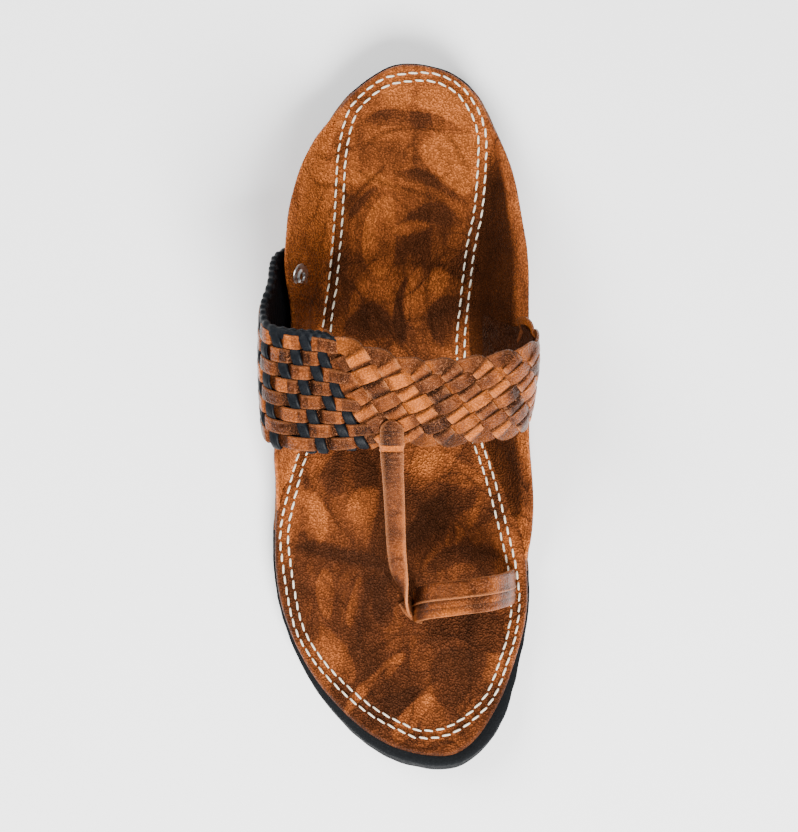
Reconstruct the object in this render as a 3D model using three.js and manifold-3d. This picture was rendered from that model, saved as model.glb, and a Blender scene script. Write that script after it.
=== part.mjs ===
// Kolhapuri sandal for the right foot: a woven instep band with a thong strap and a toe ring,
// riveted to the raised side walls of a leather footbed, on a foam outsole with a heel lift.
// Millimetres, +Z up, toe towards -Y, big-toe side towards +X.
import * as THREE from "three";
import { mergeVertices } from "three/addons/utils/BufferGeometryUtils.js";
import Module from "manifold-3d";

const wasm = await Module();
wasm.setup();

// Driving sizes of the sole
const LENGTH = 281; // along the sole, heel end to toe end
const BALL_WIDTH = 102;
const HEEL_WIDTH = 72;
const OUTSOLE_THICK = 8;
const HEEL_LIFT = 6; // how far the lift raises the heel seat over the ball
const HEEL_LENGTH = 72; // heel end to the breast of the lift
const TOE_SPRING = 15; // how far the toe end clears the floor
const FOOTBED_THICK = 4;
const SOLE_ROUND = 0.8; // rounding of the outsole's edges
const CLEARANCE = 0.3; // gap between pieces that touch

// Driving sizes of the side walls
const WALL = 2.6; // leather panel and lining
const PANEL = 1; // step from the rolled lining down to the outer panel
const PANEL_DROP = 2.2; // the panel's raw edge lies this far under the rim
const WALL_SETBACK = 0.6; // wall's foot, in from the outsole's edge
const FOOTBED_SETBACK = 4.4; // most that the outsole shows past the footbed, beside the big toe
const MEDIAL_RISE = 29;
const MEDIAL_LEAN = 19.5; // how far the rim leans out over the sole's edge
const LATERAL_RISE = 26.5;
const LATERAL_LEAN = 16;
const WALL_FLARE = 1.15; // 1 is a straight lean, more curls the rim outwards

// Driving sizes of the upper
const BAND_RISE = 71; // top of the band's rear edge over the outsole
const BAND_SPAN = 105; // widest, side to side
const BAND_THICK = 1.8; // the wall under the raised strips
const WALL_GAP = 0.8; // between the band and the side wall that it is riveted to
const STRIP_RAISE = 0.9;
const STRIP_ROWS = 8; // strips running across on the outer side
const CORD_PITCH = 5.6; // from one woven cord to the next
const CORD_WIDTH = 3.5;
const BRAID_PITCH = 11.3; // along the band, between strips that fold at its edge
const BRAID_RISE_ANGLE = 29; // strips climbing to the rear edge, degrees from the band's length
const BRAID_FALL_ANGLE = 51; // strips falling back to the front edge
const STRIP_GAP = 0.9; // groove between two raised strips
const SEAM_REACH = 0.02; // a visible square reaches under its neighbours, share of a square
const SMALLEST_PIECE = 0.35; // least height of a square cut by the band's edge, share of a square
const PAST_EDGE = 0.25; // how far a square's middle may lie past the band's edge, share of a square
const THONG_WIDTH = 8;
const THONG_THICK = 1.3; // one of its two layers
const RING_WIDTH = 13.4;
const RING_THICK = 2.4;
const RING_RISE = 31.5; // top of the ring over the outsole
const SLOT_DEPTH = 2.6; // how far the ring's ends enter the footbed

// Driving sizes of the rivets
const RIVET_CAP = 10;
const RIVET_CAP_THICK = 1.5;
const RIVET_SHANK = 3;
const RIVET_WASHER = 10;
const RIVET_WASHER_THICK = 0.7;
const RIVET_FACETS = 18;
const MEDIAL_RIVET = { at: 0.415 * LENGTH, up: 18.5 };
const LATERAL_RIVET = { at: 0.303 * LENGTH, up: 18.5 };

const COLOURS = { foam: 0x17181a, leather: 0xa9602a, dark_leather: 0x7c4220, silver: 0xc9cacc };

// Outline of the outsole: shares of LENGTH along, of the local width to each side.
// The rows are evenly spaced round a half circle, so both ends come out round.
const OUTLINE = [
  { along: 0, medial: 0.062, lateral: 0.062 },
  { along: 0.017, medial: 0.32, lateral: -0.136 },
  { along: 0.067, medial: 0.49, lateral: -0.338 },
  { along: 0.146, medial: 0.55, lateral: -0.41 },
  { along: 0.25, medial: 0.507, lateral: -0.41 },
  { along: 0.371, medial: 0.406, lateral: -0.423 },
  { along: 0.5, medial: 0.38, lateral: -0.423 },
  { along: 0.629, medial: 0.476, lateral: -0.48 },
  { along: 0.75, medial: 0.513, lateral: -0.471 },
  { along: 0.854, medial: 0.469, lateral: -0.372 },
  { along: 0.933, medial: 0.404, lateral: -0.216 },
  { along: 0.983, medial: 0.295, lateral: -0.038 },
  { along: 1, medial: 0.163, lateral: 0.163 },
];

// How far the footbed's edge lies in from the outsole's edge where no wall stands: at is a share
// of LENGTH, the columns are shares of FOOTBED_SETBACK.
const FOOTBED_ROWS = [
  { at: 0, medial: 0.22, lateral: 0.22 },
  { at: 0.3, medial: 0.22, lateral: 0.22 },
  { at: 0.73, medial: 0.22, lateral: 0.22 },
  { at: 0.81, medial: 0.28, lateral: 0.3 },
  { at: 0.88, medial: 0.64, lateral: 0.46 },
  { at: 0.94, medial: 1, lateral: 0.6 },
  { at: 1, medial: 0.8, lateral: 0.8 },
];

// Stations along the underside, as shares of LENGTH
const SEAT_END = 0.27;
const BALL_START = 0.585;
const TOE_BREAK = 0.71;

// Side walls: at is a share of LENGTH, rise and lean are shares of the wall's own sizes.
const MEDIAL_ROWS = [
  { at: 0.046, rise: 0.05, lean: 0 },
  { at: 0.092, rise: 0.2, lean: 0.08 },
  { at: 0.139, rise: 0.41, lean: 0.27 },
  { at: 0.196, rise: 0.63, lean: 0.53 },
  { at: 0.256, rise: 0.81, lean: 0.78 },
  { at: 0.302, rise: 0.91, lean: 0.92 },
  { at: 0.374, rise: 1, lean: 1 },
  { at: 0.463, rise: 0.92, lean: 0.89 },
  { at: 0.505, rise: 0.87, lean: 0.83 },
  { at: 0.548, rise: 0.74, lean: 0.67 },
  { at: 0.605, rise: 0.49, lean: 0.43 },
  { at: 0.667, rise: 0.15, lean: 0.2 },
  { at: 0.708, rise: 0.05, lean: 0 },
];
const LATERAL_ROWS = [
  { at: 0.046, rise: 0.05, lean: 0 },
  { at: 0.085, rise: 0.15, lean: 0.16 },
  { at: 0.114, rise: 0.31, lean: 0.38 },
  { at: 0.171, rise: 0.56, lean: 0.72 },
  { at: 0.214, rise: 0.72, lean: 0.92 },
  { at: 0.256, rise: 0.86, lean: 0.96 },
  { at: 0.299, rise: 0.96, lean: 0.9 },
  { at: 0.356, rise: 1, lean: 0.6 },
  { at: 0.427, rise: 0.98, lean: 0.5 },
  { at: 0.498, rise: 0.87, lean: 0.55 },
  { at: 0.552, rise: 0.58, lean: 0.38 },
  { at: 0.587, rise: 0.32, lean: 0.2 },
  { at: 0.626, rise: 0.13, lean: 0.06 },
  { at: 0.65, rise: 0.05, lean: 0 },
];

// The instep band from its outer end to its arch end. Rows on a wall follow that wall's surface at
// the given height, a share of its rise. Free rows: distances across are shares of half BAND_SPAN
// and heights are shares of BAND_RISE. Stations are shares of LENGTH.
const BAND_ROWS = [
  { wall: "lateral", rearUp: 0.26, frontUp: 0.26, rearAt: 0.266, frontAt: 0.37 },
  { wall: "lateral", rearUp: 0.5, frontUp: 0.5, rearAt: 0.269, frontAt: 0.38 },
  { wall: "lateral", rearUp: 0.74, frontUp: 0.74, rearAt: 0.275, frontAt: 0.394 },
  { wall: "lateral", rearUp: 0.98, frontUp: 0.96, rearAt: 0.288, frontAt: 0.416 },
  { rearAcross: -0.92, frontAcross: -0.9, rearUp: 0.53, frontUp: 0.47, rearAt: 0.32, frontAt: 0.47 },
  { rearAcross: -0.96, frontAcross: -0.955, rearUp: 0.7, frontUp: 0.59, rearAt: 0.355, frontAt: 0.512 },
  { rearAcross: -0.915, frontAcross: -0.91, rearUp: 0.835, frontUp: 0.68, rearAt: 0.379, frontAt: 0.532 },
  { rearAcross: -0.76, frontAcross: -0.76, rearUp: 0.92, frontUp: 0.745, rearAt: 0.387, frontAt: 0.54 },
  { rearAcross: -0.51, frontAcross: -0.51, rearUp: 0.965, frontUp: 0.785, rearAt: 0.392, frontAt: 0.542 },
  { rearAcross: -0.24, frontAcross: -0.24, rearUp: 0.99, frontUp: 0.8, rearAt: 0.408, frontAt: 0.536 },
  { rearAcross: 0.05, frontAcross: 0.04, rearUp: 1, frontUp: 0.805, rearAt: 0.424, frontAt: 0.528 },
  { rearAcross: 0.33, frontAcross: 0.32, rearUp: 0.99, frontUp: 0.795, rearAt: 0.426, frontAt: 0.531 },
  { rearAcross: 0.6, frontAcross: 0.575, rearUp: 0.955, frontUp: 0.755, rearAt: 0.421, frontAt: 0.525 },
  { rearAcross: 0.83, frontAcross: 0.785, rearUp: 0.885, frontUp: 0.69, rearAt: 0.412, frontAt: 0.52 },
  { rearAcross: 0.965, frontAcross: 0.905, rearUp: 0.775, frontUp: 0.6, rearAt: 0.401, frontAt: 0.51 },
  { rearAcross: 0.99, frontAcross: 0.93, rearUp: 0.64, frontUp: 0.505, rearAt: 0.388, frontAt: 0.502 },
  { rearAcross: 0.93, frontAcross: 0.89, rearUp: 0.51, frontUp: 0.42, rearAt: 0.37, frontAt: 0.496 },
  { wall: "medial", rearUp: 0.86, frontUp: 0.86, rearAt: 0.359, frontAt: 0.489 },
  { wall: "medial", rearUp: 0.64, frontUp: 0.64, rearAt: 0.354, frontAt: 0.48 },
  { wall: "medial", rearUp: 0.46, frontUp: 0.46, rearAt: 0.35, frontAt: 0.472 },
  { wall: "medial", rearUp: 0.32, frontUp: 0.32, rearAt: 0.346, frontAt: 0.466 },
];
const BAND_SEGMENTS = 46;
const BAND_STRIPS = 4; // facets from the rear edge to the front edge
const BAND_CROWN = 0.9;

// The toe ring: across in shares of BALL_WIDTH, up in shares of RING_RISE, at in shares of LENGTH
const RING_ROWS = [
  { across: 0.067, up: 0, at: 0.766 },
  { across: 0.07, up: 0.22, at: 0.766 },
  { across: 0.083, up: 0.56, at: 0.763 },
  { across: 0.13, up: 0.87, at: 0.758 },
  { across: 0.24, up: 1, at: 0.752 },
  { across: 0.348, up: 0.89, at: 0.746 },
  { across: 0.412, up: 0.6, at: 0.741 },
  { across: 0.44, up: 0.28, at: 0.738 },
  { across: 0.449, up: 0, at: 0.737 },
];

// The thong's front layer starts as a tab on top of the band: back is a share of the band's
// width from its front edge. The back layer starts under the band. Below the band both layers
// follow their rows: across in shares of BALL_WIDTH, up in shares of BAND_RISE, at in shares of
// LENGTH. They lie together from the middle of the strap down, and the strap turns on edge
// beside the ring. Widths are shares of THONG_WIDTH, turns are shares of a quarter turn.
const TAB_ROWS = [
  { back: 0.42, width: 0.7, turn: 0 },
  { back: 0.37, width: 1.12, turn: 0 },
  { back: 0.2, width: 1.15, turn: 0 },
  { back: 0.03, width: 1.15, turn: 0 },
];
const THONG_FRONT = [
  { across: -0.021, up: 0.775, at: 0.548, width: 1.12, turn: 0 },
  { across: -0.018, up: 0.725, at: 0.573, width: 1.02, turn: 0 },
  { across: -0.014, up: 0.655, at: 0.6, width: 1, turn: 0 },
  { across: -0.0095, up: 0.55, at: 0.64, width: 0.96, turn: 0.05 },
  { across: -0.003, up: 0.45, at: 0.687, width: 0.92, turn: 0.25 },
  { across: 0.014, up: 0.345, at: 0.728, width: 0.9, turn: 0.62 },
  { across: 0.037, up: 0.23, at: 0.754, width: 0.9, turn: 0.94 },
  { across: 0.05, up: 0.11, at: 0.765, width: 0.9, turn: 1 },
  { across: 0.052, up: 0.037, at: 0.766, width: 0.9, turn: 1 },
];
const THONG_BACK = [
  { across: -0.021, up: 0.735, at: 0.53, width: 0.98, turn: 0 },
  { across: -0.018, up: 0.67, at: 0.562, width: 0.98, turn: 0 },
  { across: -0.014, up: 0.605, at: 0.59, width: 0.96, turn: 0 },
  { across: -0.0095, up: 0.526, at: 0.632, width: 0.9, turn: 0.05 },
  { across: -0.004, up: 0.46, at: 0.678, width: 0.8, turn: 0.2 },
];
const THONG_TUCK = 0.18; // where the back layer starts under the band, as back above

// Small helpers for numbers and tables

const mix = (a, b, t) => a + (b - a) * t;
const clamp01 = (t) => Math.min(1, Math.max(0, t));
const smoothstep = (t) => clamp01(t) ** 2 * (3 - 2 * clamp01(t));

// Value of one column at a station, smooth through the rows of a table sorted by its at column.
function lookup(rows, column, at) {
  const last = rows.length - 2;
  let i = rows.findIndex((row, k) => k > 0 && at <= row.at) - 1;
  if (i < 0) i = at <= rows[0].at ? 0 : last;
  const slope = (k) => {
    const a = rows[Math.max(0, k - 1)];
    const b = rows[Math.min(rows.length - 1, k + 1)];
    return (b[column] - a[column]) / (b.at - a.at);
  };
  const span = rows[i + 1].at - rows[i].at;
  const t = clamp01((at - rows[i].at) / span);
  const h00 = 2 * t ** 3 - 3 * t ** 2 + 1;
  const h10 = t ** 3 - 2 * t ** 2 + t;
  const h01 = 3 * t ** 2 - 2 * t ** 3;
  const h11 = t ** 3 - t ** 2;
  return (
    h00 * rows[i][column] +
    h10 * span * slope(i) +
    h01 * rows[i + 1][column] +
    h11 * span * slope(i + 1)
  );
}

// Closed solids from rings of points

// A mesh from a list of vertices and a list of triangles, joined where vertices coincide.
function geometryOf(points, triangles) {
  const raw = new THREE.BufferGeometry().setFromPoints(points);
  raw.setIndex(triangles.flat());
  return mergeVertices(raw, 1e-4);
}

// Sections of equal, even length joined one after the other. Each end is closed by a ladder of
// quads between the section's first half and its second half.
function loft(sections) {
  const n = sections[0].length;
  const triangles = [];
  for (let s = 0; s + 1 < sections.length; s++) {
    for (let i = 0; i < n; i++) {
      const a = s * n + i;
      const b = s * n + ((i + 1) % n);
      triangles.push([a, b, b + n], [a, b + n, a + n]);
    }
  }
  const end = (sections.length - 1) * n;
  for (let i = 0; i + 1 < n / 2; i++) {
    const j = n - 1 - i;
    triangles.push([i, j, i + 1], [end + i, end + i + 1, end + j]);
    triangles.push([i + 1, j, j - 1], [end + i + 1, end + j - 1, end + j]);
  }
  return geometryOf(sections.flat(), triangles);
}

// A solid facing outwards, whichever way its triangles were wound.
function solidOf(geometry) {
  const bare = new THREE.BufferGeometry();
  bare.setAttribute("position", geometry.getAttribute("position"));
  bare.setIndex(geometry.index);
  const merged = mergeVertices(bare, 1e-4);
  const triVerts = new Uint32Array(merged.index.array);
  const build = () =>
    new wasm.Manifold(
      new wasm.Mesh({
        numProp: 3,
        vertProperties: merged.getAttribute("position").array,
        triVerts,
      }),
    );
  const solid = build();
  if (solid.volume() >= 0) return solid;
  for (let i = 0; i < triVerts.length; i += 3) {
    [triVerts[i + 1], triVerts[i + 2]] = [triVerts[i + 2], triVerts[i + 1]];
  }
  return build();
}

function geometryOfSolid(solid) {
  const mesh = solid.getMesh();
  const geometry = new THREE.BufferGeometry();
  const places = new Float32Array(mesh.numVert * 3);
  for (let i = 0; i < mesh.numVert; i++) {
    places.set(mesh.vertProperties.subarray(i * mesh.numProp, i * mesh.numProp + 3), i * 3);
  }
  geometry.setAttribute("position", new THREE.BufferAttribute(places, 3));
  geometry.setIndex(new THREE.BufferAttribute(mesh.triVerts, 1));
  geometry.computeVertexNormals();
  return geometry;
}

// The sole's plan and profile

const widthAt = (along) => mix(HEEL_WIDTH, BALL_WIDTH, smoothstep((along - 0.25) / 0.35));
const outlinePoint = (share, along) => new THREE.Vector3(share * widthAt(along), along * LENGTH, 0);
const outline = new THREE.CatmullRomCurve3(
  [
    ...OUTLINE.map((row) => outlinePoint(row.medial, row.along)),
    ...OUTLINE.slice(1, -1).reverse().map((row) => outlinePoint(row.lateral, row.along)),
  ],
  true,
  "catmullrom",
  0.5,
);

// Point of the outline at t, a share of the way round from the heel by the big-toe side, moved
// inwards by inset. x is across, u is the distance along the sole.
function plan(t, inset = 0) {
  const p = outline.getPoint(((t % 1) + 1) % 1);
  const step = 1e-3;
  const q = outline.getPoint((t + step + 1) % 1);
  const r = outline.getPoint((t - step + 1) % 1);
  const along = q.sub(r).normalize();
  return { x: p.x - along.y * inset, u: p.y + along.x * inset };
}

// Share of the way round at which the outline passes a station on one side.
function roundAt(side, u) {
  const t = Math.acos(1 - (2 * clamp01(u / LENGTH))) / (2 * Math.PI);
  return side === "medial" ? t : 1 - t;
}

// Underside of the outsole at distance u: forward distance, height and pitch. The heel seat is
// level, the shank falls to the level ball, and the toe rises on an arc.
function profile(u) {
  const seat = SEAT_END * LENGTH;
  const ball = BALL_START * LENGTH;
  const toe = TOE_BREAK * LENGTH;
  if (u > toe) {
    const radius = (LENGTH - toe) ** 2 / (2 * TOE_SPRING);
    const pitch = (u - toe) / radius;
    return { forward: toe + radius * Math.sin(pitch), z: radius * (1 - Math.cos(pitch)), pitch };
  }
  const t = clamp01((u - seat) / (ball - seat));
  const pitch = (-HEEL_LIFT * 6 * t * (1 - t)) / (ball - seat);
  return { forward: u, z: HEEL_LIFT * (1 - smoothstep(t)), pitch };
}

// World point over the sole: x across, u along, h above the outsole's underside.
function onSole(x, u, h) {
  const p = profile(u);
  return new THREE.Vector3(x, h * Math.sin(p.pitch) - p.forward, p.z + h * Math.cos(p.pitch));
}

const overOutsole = (x, u, up) => onSole(x, u, OUTSOLE_THICK + up);

// World point straight above a place of the sole.
function plumbOver(x, u, up) {
  const p = profile(u);
  return new THREE.Vector3(x, -p.forward, p.z + OUTSOLE_THICK + up);
}

const RING_POINTS = 64;
const LIFT_POINTS = 32;

// Closed ring of the outline at one inset and one height over the outsole's underside.
function ring(insetAt, h) {
  return Array.from({ length: RING_POINTS }, (_, i) => {
    const t = (i + 0.5) / RING_POINTS;
    const { x, u } = plan(t, insetAt(t));
    return onSole(x, u, h);
  });
}

function makeOutsole() {
  const edge = (inset, h) => ring(() => inset, h);
  return loft([
    edge(SOLE_ROUND, 0),
    edge(0, SOLE_ROUND),
    edge(0, OUTSOLE_THICK - SOLE_ROUND / 2),
    edge(SOLE_ROUND / 2, OUTSOLE_THICK),
  ]);
}

// The lift fills the step between the level heel seat and the floor, back of a straight breast.
function makeHeelLift() {
  const breast = roundAt("medial", HEEL_LENGTH);
  const edge = (inset, z) =>
    Array.from({ length: LIFT_POINTS }, (_, i) => {
      const { x, u } = plan(mix(-breast, breast, i / (LIFT_POINTS - 1)), inset);
      return new THREE.Vector3(x, -Math.min(u, HEEL_LENGTH - inset), z);
    });
  return loft([edge(SOLE_ROUND, 0), edge(0, SOLE_ROUND), edge(0, HEEL_LIFT - CLEARANCE)]);
}

// The side walls

const WALLS = {
  medial: { side: "medial", rows: MEDIAL_ROWS, rise: MEDIAL_RISE, lean: MEDIAL_LEAN },
  lateral: { side: "lateral", rows: LATERAL_ROWS, rise: LATERAL_RISE, lean: LATERAL_LEAN },
};
const WALL_SECTIONS = 30;

const riseAt = (wall, u) => wall.rise * lookup(wall.rows, "rise", u / LENGTH);
const leanAt = (wall, u) => wall.lean * lookup(wall.rows, "lean", u / LENGTH);

// Outward distance of the wall's outer face at height up, and its slope there.
function wallFace(wall, u, up) {
  const rise = riseAt(wall, u);
  const lean = leanAt(wall, u);
  const t = Math.max(up, 0) / rise;
  return {
    out: lean * t ** WALL_FLARE - WALL_SETBACK,
    slope: ((lean * WALL_FLARE) / rise) * t ** (WALL_FLARE - 1),
  };
}

// World point of a wall at station u and height up, at a depth in from its outer face.
function wallPoint(wall, u, up, depth) {
  const face = wallFace(wall, u, up);
  const tilt = Math.atan(face.slope);
  const p = plan(roundAt(wall.side, u), depth * Math.cos(tilt) - face.out);
  return overOutsole(p.x, p.u, up + depth * Math.sin(tilt));
}

// Section of a wall: up the outer panel, over its raw edge, round the rolled rim, down the lining.
// Where the wall runs out low, the panel and the lining's foot keep a share of the height left.
const LOW_SHARE = 0.6;
function wallSection(wall, u) {
  const rise = riseAt(wall, u);
  const panelTop = Math.max(rise - PANEL_DROP, LOW_SHARE * rise);
  const foot = Math.min(FOOTBED_THICK + 2 * CLEARANCE, LOW_SHARE * panelTop);
  const step = Math.min(PANEL, (1 - LOW_SHARE) * rise);
  const straight = (out, up) => {
    const p = plan(roundAt(wall.side, u), -out);
    return overOutsole(p.x, p.u, up);
  };
  return [
    straight(-WALL_SETBACK, CLEARANCE),
    wallPoint(wall, u, mix(CLEARANCE, panelTop, 0.35), 0),
    wallPoint(wall, u, mix(CLEARANCE, panelTop, 0.7), 0),
    wallPoint(wall, u, panelTop, 0),
    wallPoint(wall, u, panelTop, step),
    wallPoint(wall, u, mix(panelTop, rise, 0.75), step),
    wallPoint(wall, u, mix(panelTop, rise, 0.95), mix(step, WALL, 0.5)),
    wallPoint(wall, u, mix(panelTop, rise, 0.6), WALL),
    wallPoint(wall, u, mix(foot, panelTop, 0.6), WALL),
    wallPoint(wall, u, mix(foot, panelTop, 0.25), WALL),
    straight(-WALL_SETBACK - WALL, foot),
    straight(-WALL_SETBACK - WALL, CLEARANCE),
  ];
}

function makeWall(wall) {
  const from = wall.rows[0].at * LENGTH;
  const to = wall.rows.at(-1).at * LENGTH;
  const sections = Array.from({ length: WALL_SECTIONS + 1 }, (_, i) =>
    wallSection(wall, mix(from, to, i / WALL_SECTIONS)),
  );
  return loft(sections);
}

// The footbed, with a rolled edge, set back further where a wall stands outside it

const WALL_EASE = 0.04 * LENGTH; // before a wall's end, over which the footbed's edge steps in

function footbedInset(t) {
  const wall = t < 0.5 ? WALLS.medial : WALLS.lateral;
  const u = plan(t).u;
  const from = wall.rows[0].at * LENGTH - WALL_EASE;
  const to = wall.rows.at(-1).at * LENGTH + WALL_EASE;
  const behindWall = WALL_SETBACK + WALL + CLEARANCE;
  const eased = (distance) => smoothstep(distance / (0.8 * WALL_EASE));
  const open = FOOTBED_SETBACK * lookup(FOOTBED_ROWS, wall.side, u / LENGTH);
  return mix(open, behindWall, eased(u - from) * eased(to - u));
}

// A box over the sole, standing along the sole's own normal at its middle.
function soleBox({ across, at, wide, long, from, to }) {
  const box = new THREE.BoxGeometry(wide, long, to - from);
  const middle = onSole(across, at, (from + to) / 2);
  box.applyMatrix4(new THREE.Matrix4().makeRotationX(-profile(at).pitch));
  box.translate(middle.x, middle.y, middle.z);
  return solidOf(box);
}

function makeFootbed() {
  const base = OUTSOLE_THICK + CLEARANCE;
  const roll = [
    { inset: 0.6, h: 0 },
    { inset: 0, h: 0.2 },
    { inset: 0, h: 0.62 },
    { inset: 0.5, h: 0.88 },
    { inset: 1.8, h: 1 },
  ];
  const rings = roll.map((r) => ring((t) => footbedInset(t) + r.inset, base + r.h * FOOTBED_THICK));
  let solid = solidOf(loft(rings));
  for (const slot of ringSlots()) solid = solid.subtract(soleBox(slot));
  return geometryOfSolid(solid);
}

// The toe ring and its slots

const footbedTop = OUTSOLE_THICK + CLEARANCE + FOOTBED_THICK;

function ringPath() {
  const sunk = FOOTBED_THICK + 4 * CLEARANCE - SLOT_DEPTH;
  const place = ({ across, up, at }) =>
    overOutsole(across * BALL_WIDTH, at * LENGTH, mix(sunk, RING_RISE, up));
  return new THREE.CatmullRomCurve3(RING_ROWS.map(place));
}

function ringSlots() {
  const start = RING_ROWS[0];
  const end = RING_ROWS.at(-1);
  const from = footbedTop - SLOT_DEPTH;
  const long = RING_WIDTH + 2 * CLEARANCE;
  const to = footbedTop + SLOT_DEPTH;
  const beside = THONG_THICK * 2;
  return [
    {
      across: start.across * BALL_WIDTH - beside / 2,
      at: start.at * LENGTH,
      wide: RING_THICK + beside + 2 * CLEARANCE,
      long,
      from,
      to,
    },
    {
      across: end.across * BALL_WIDTH,
      at: end.at * LENGTH,
      wide: RING_THICK + 3 * CLEARANCE,
      long,
      from,
      to,
    },
  ];
}

// A flat ribbon swept along a path. side gives its width direction at a share of the path.
function ribbon(path, steps, widthAtShare, thick, side) {
  const sections = [];
  for (let i = 0; i <= steps; i++) {
    const t = i / steps;
    const p = path.getPointAt(t);
    const tangent = path.getTangentAt(t);
    const across = side(t).projectOnPlane(tangent).normalize();
    const out = tangent.clone().cross(across).normalize();
    const w = widthAtShare(t) / 2;
    const h = thick / 2;
    const corner = (a, b) => p.clone().addScaledVector(across, a).addScaledVector(out, b);
    sections.push([corner(-w, -h), corner(w, -h), corner(w, h), corner(-w, h)]);
  }
  return solidOf(loft(sections));
}

function makeToeRing() {
  const pitch = profile(RING_ROWS[4].at * LENGTH).pitch;
  const alongFoot = new THREE.Vector3(0, -Math.cos(pitch), Math.sin(pitch));
  return ribbon(ringPath(), 22, () => RING_WIDTH, RING_THICK, () => alongFoot.clone());
}

// The woven band

function rowPoint(row, w) {
  const at = mix(row.rearAt, row.frontAt, w) * LENGTH;
  const up = mix(row.rearUp, row.frontUp, w);
  if (!row.wall) {
    const across = mix(row.rearAcross, row.frontAcross, w);
    return plumbOver((across * BAND_SPAN) / 2, at, up * BAND_RISE);
  }
  const wall = WALLS[row.wall];
  const gap = WALL_GAP + BAND_THICK / 2;
  const depth = row.wall === "medial" ? WALL + gap : -gap;
  return wallPoint(wall, at, up * wall.rise, depth);
}

// Curves that run the length of the band, evenly spaced from its rear edge to its front edge.
const RUNNERS = 8;
const runners = Array.from(
  { length: RUNNERS + 1 },
  (_, k) => new THREE.CatmullRomCurve3(BAND_ROWS.map((row) => rowPoint(row, k / RUNNERS))),
);

// Middle surface of the band: v runs from the outer end to the arch end, w from rear to front.
function bandMiddle(v, w) {
  const k = Math.min(RUNNERS - 1, Math.max(0, Math.floor(w * RUNNERS)));
  const rear = runners[k].getPoint(clamp01(v));
  const front = runners[k + 1].getPoint(clamp01(v));
  return rear.lerp(front, w * RUNNERS - k);
}

function bandNormal(v, w) {
  const step = 0.004;
  const along = bandMiddle(v + step, w).sub(bandMiddle(v - step, w));
  const down = bandMiddle(v, w + step).sub(bandMiddle(v, w - step));
  return down.cross(along).normalize();
}

// Point of the band at a height over its middle surface, outwards, with a low crown across it.
function bandPoint(v, w, out) {
  const onWall = smoothstep((Math.min(v, 1 - v) - 0.16) / 0.06);
  const crown = BAND_CROWN * onWall * 4 * w * (1 - w);
  return bandMiddle(v, w).addScaledVector(bandNormal(v, clamp01(w)), out + crown);
}

// Running length along the middle of the band, and back from length to v.
const ARC_SAMPLES = 240;
const arcTable = [0];
for (let i = 1; i <= ARC_SAMPLES; i++) {
  const step = bandMiddle(i / ARC_SAMPLES, 0.5).distanceTo(bandMiddle((i - 1) / ARC_SAMPLES, 0.5));
  arcTable.push(arcTable[i - 1] + step);
}
const BAND_LENGTH = arcTable[ARC_SAMPLES];
function vAt(length) {
  const i = Math.min(ARC_SAMPLES - 1, Math.max(0, arcTable.findIndex((a) => a > length) - 1));
  const t = (length - arcTable[i]) / (arcTable[i + 1] - arcTable[i]);
  return (i + t) / ARC_SAMPLES;
}
const vOfRow = (k) => k / (BAND_ROWS.length - 1);
const lengthAtV = (v) => arcTable[Math.round(v * ARC_SAMPLES)];

function makeBandWall() {
  const sections = [];
  for (let i = 0; i <= BAND_SEGMENTS; i++) {
    const v = i / BAND_SEGMENTS;
    const outer = [];
    const inner = [];
    for (let k = 0; k <= BAND_STRIPS; k++) {
      outer.push(bandPoint(v, k / BAND_STRIPS, BAND_THICK / 2));
      inner.unshift(bandPoint(v, k / BAND_STRIPS, -BAND_THICK / 2));
    }
    sections.push([...outer, ...inner]);
  }
  return solidOf(loft(sections));
}

// How far the band bulges between the two ends of a piece given by its corners.
const STRAIGHT_ENOUGH = 0.5;
function bulgeOf([p, q]) {
  const middle = (p[0] + q[0]) / 2;
  const chord = bandMiddle(vAt(p[0]), 0.5).lerp(bandMiddle(vAt(q[0]), 0.5), 0.5);
  return chord.distanceTo(bandMiddle(vAt(middle), 0.5));
}

// A raised piece of strip on the band. Its corners are places in the band's flat pattern: length
// along the band, and distance from its middle line towards the front edge.
function raisedPiece(corners) {
  const sunk = 0.72 * BAND_THICK;
  const base = [];
  const top = [];
  const shrink = 0.86;
  const centre = corners.reduce((s, c) => [s[0] + c[0] / 4, s[1] + c[1] / 4], [0, 0]);
  const at = (a, b) => {
    const v = vAt(a);
    const width = bandMiddle(v, 0).distanceTo(bandMiddle(v, 1));
    return [v, 0.5 + b / width];
  };
  const shares = bulgeOf(corners) > STRAIGHT_ENOUGH ? [0, 0.5, 1] : [0, 1];
  for (const share of shares) {
    for (const [p, q] of [
      [corners[0], corners[1]],
      [corners[3], corners[2]],
    ]) {
      const a = mix(p[0], q[0], share);
      const b = mix(p[1], q[1], share);
      base.push(bandPoint(...at(a, b), BAND_THICK / 2 - sunk));
      const onTop = at(mix(centre[0], a, shrink), mix(centre[1], b, shrink));
      top.push(bandPoint(...onTop, BAND_THICK / 2 + STRIP_RAISE));
    }
  }
  const points = [...base, ...top];
  const t = base.length;
  const end = t - 2;
  const quads = [
    [0, t, t + 1, 1],
    [end, end + 1, t + end + 1, t + end],
  ];
  for (let k = 0; k < end; k += 2) {
    quads.push([k, k + 1, k + 3, k + 2], [t + k, t + k + 2, t + k + 3, t + k + 1]);
    quads.push([k, k + 2, t + k + 2, t + k], [k + 1, t + k + 1, t + k + 3, k + 3]);
  }
  const triangles = quads.flatMap(([a, b, c, d]) => [
    [a, b, c],
    [a, c, d],
  ]);
  return solidOf(geometryOf(points, triangles));
}

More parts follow.
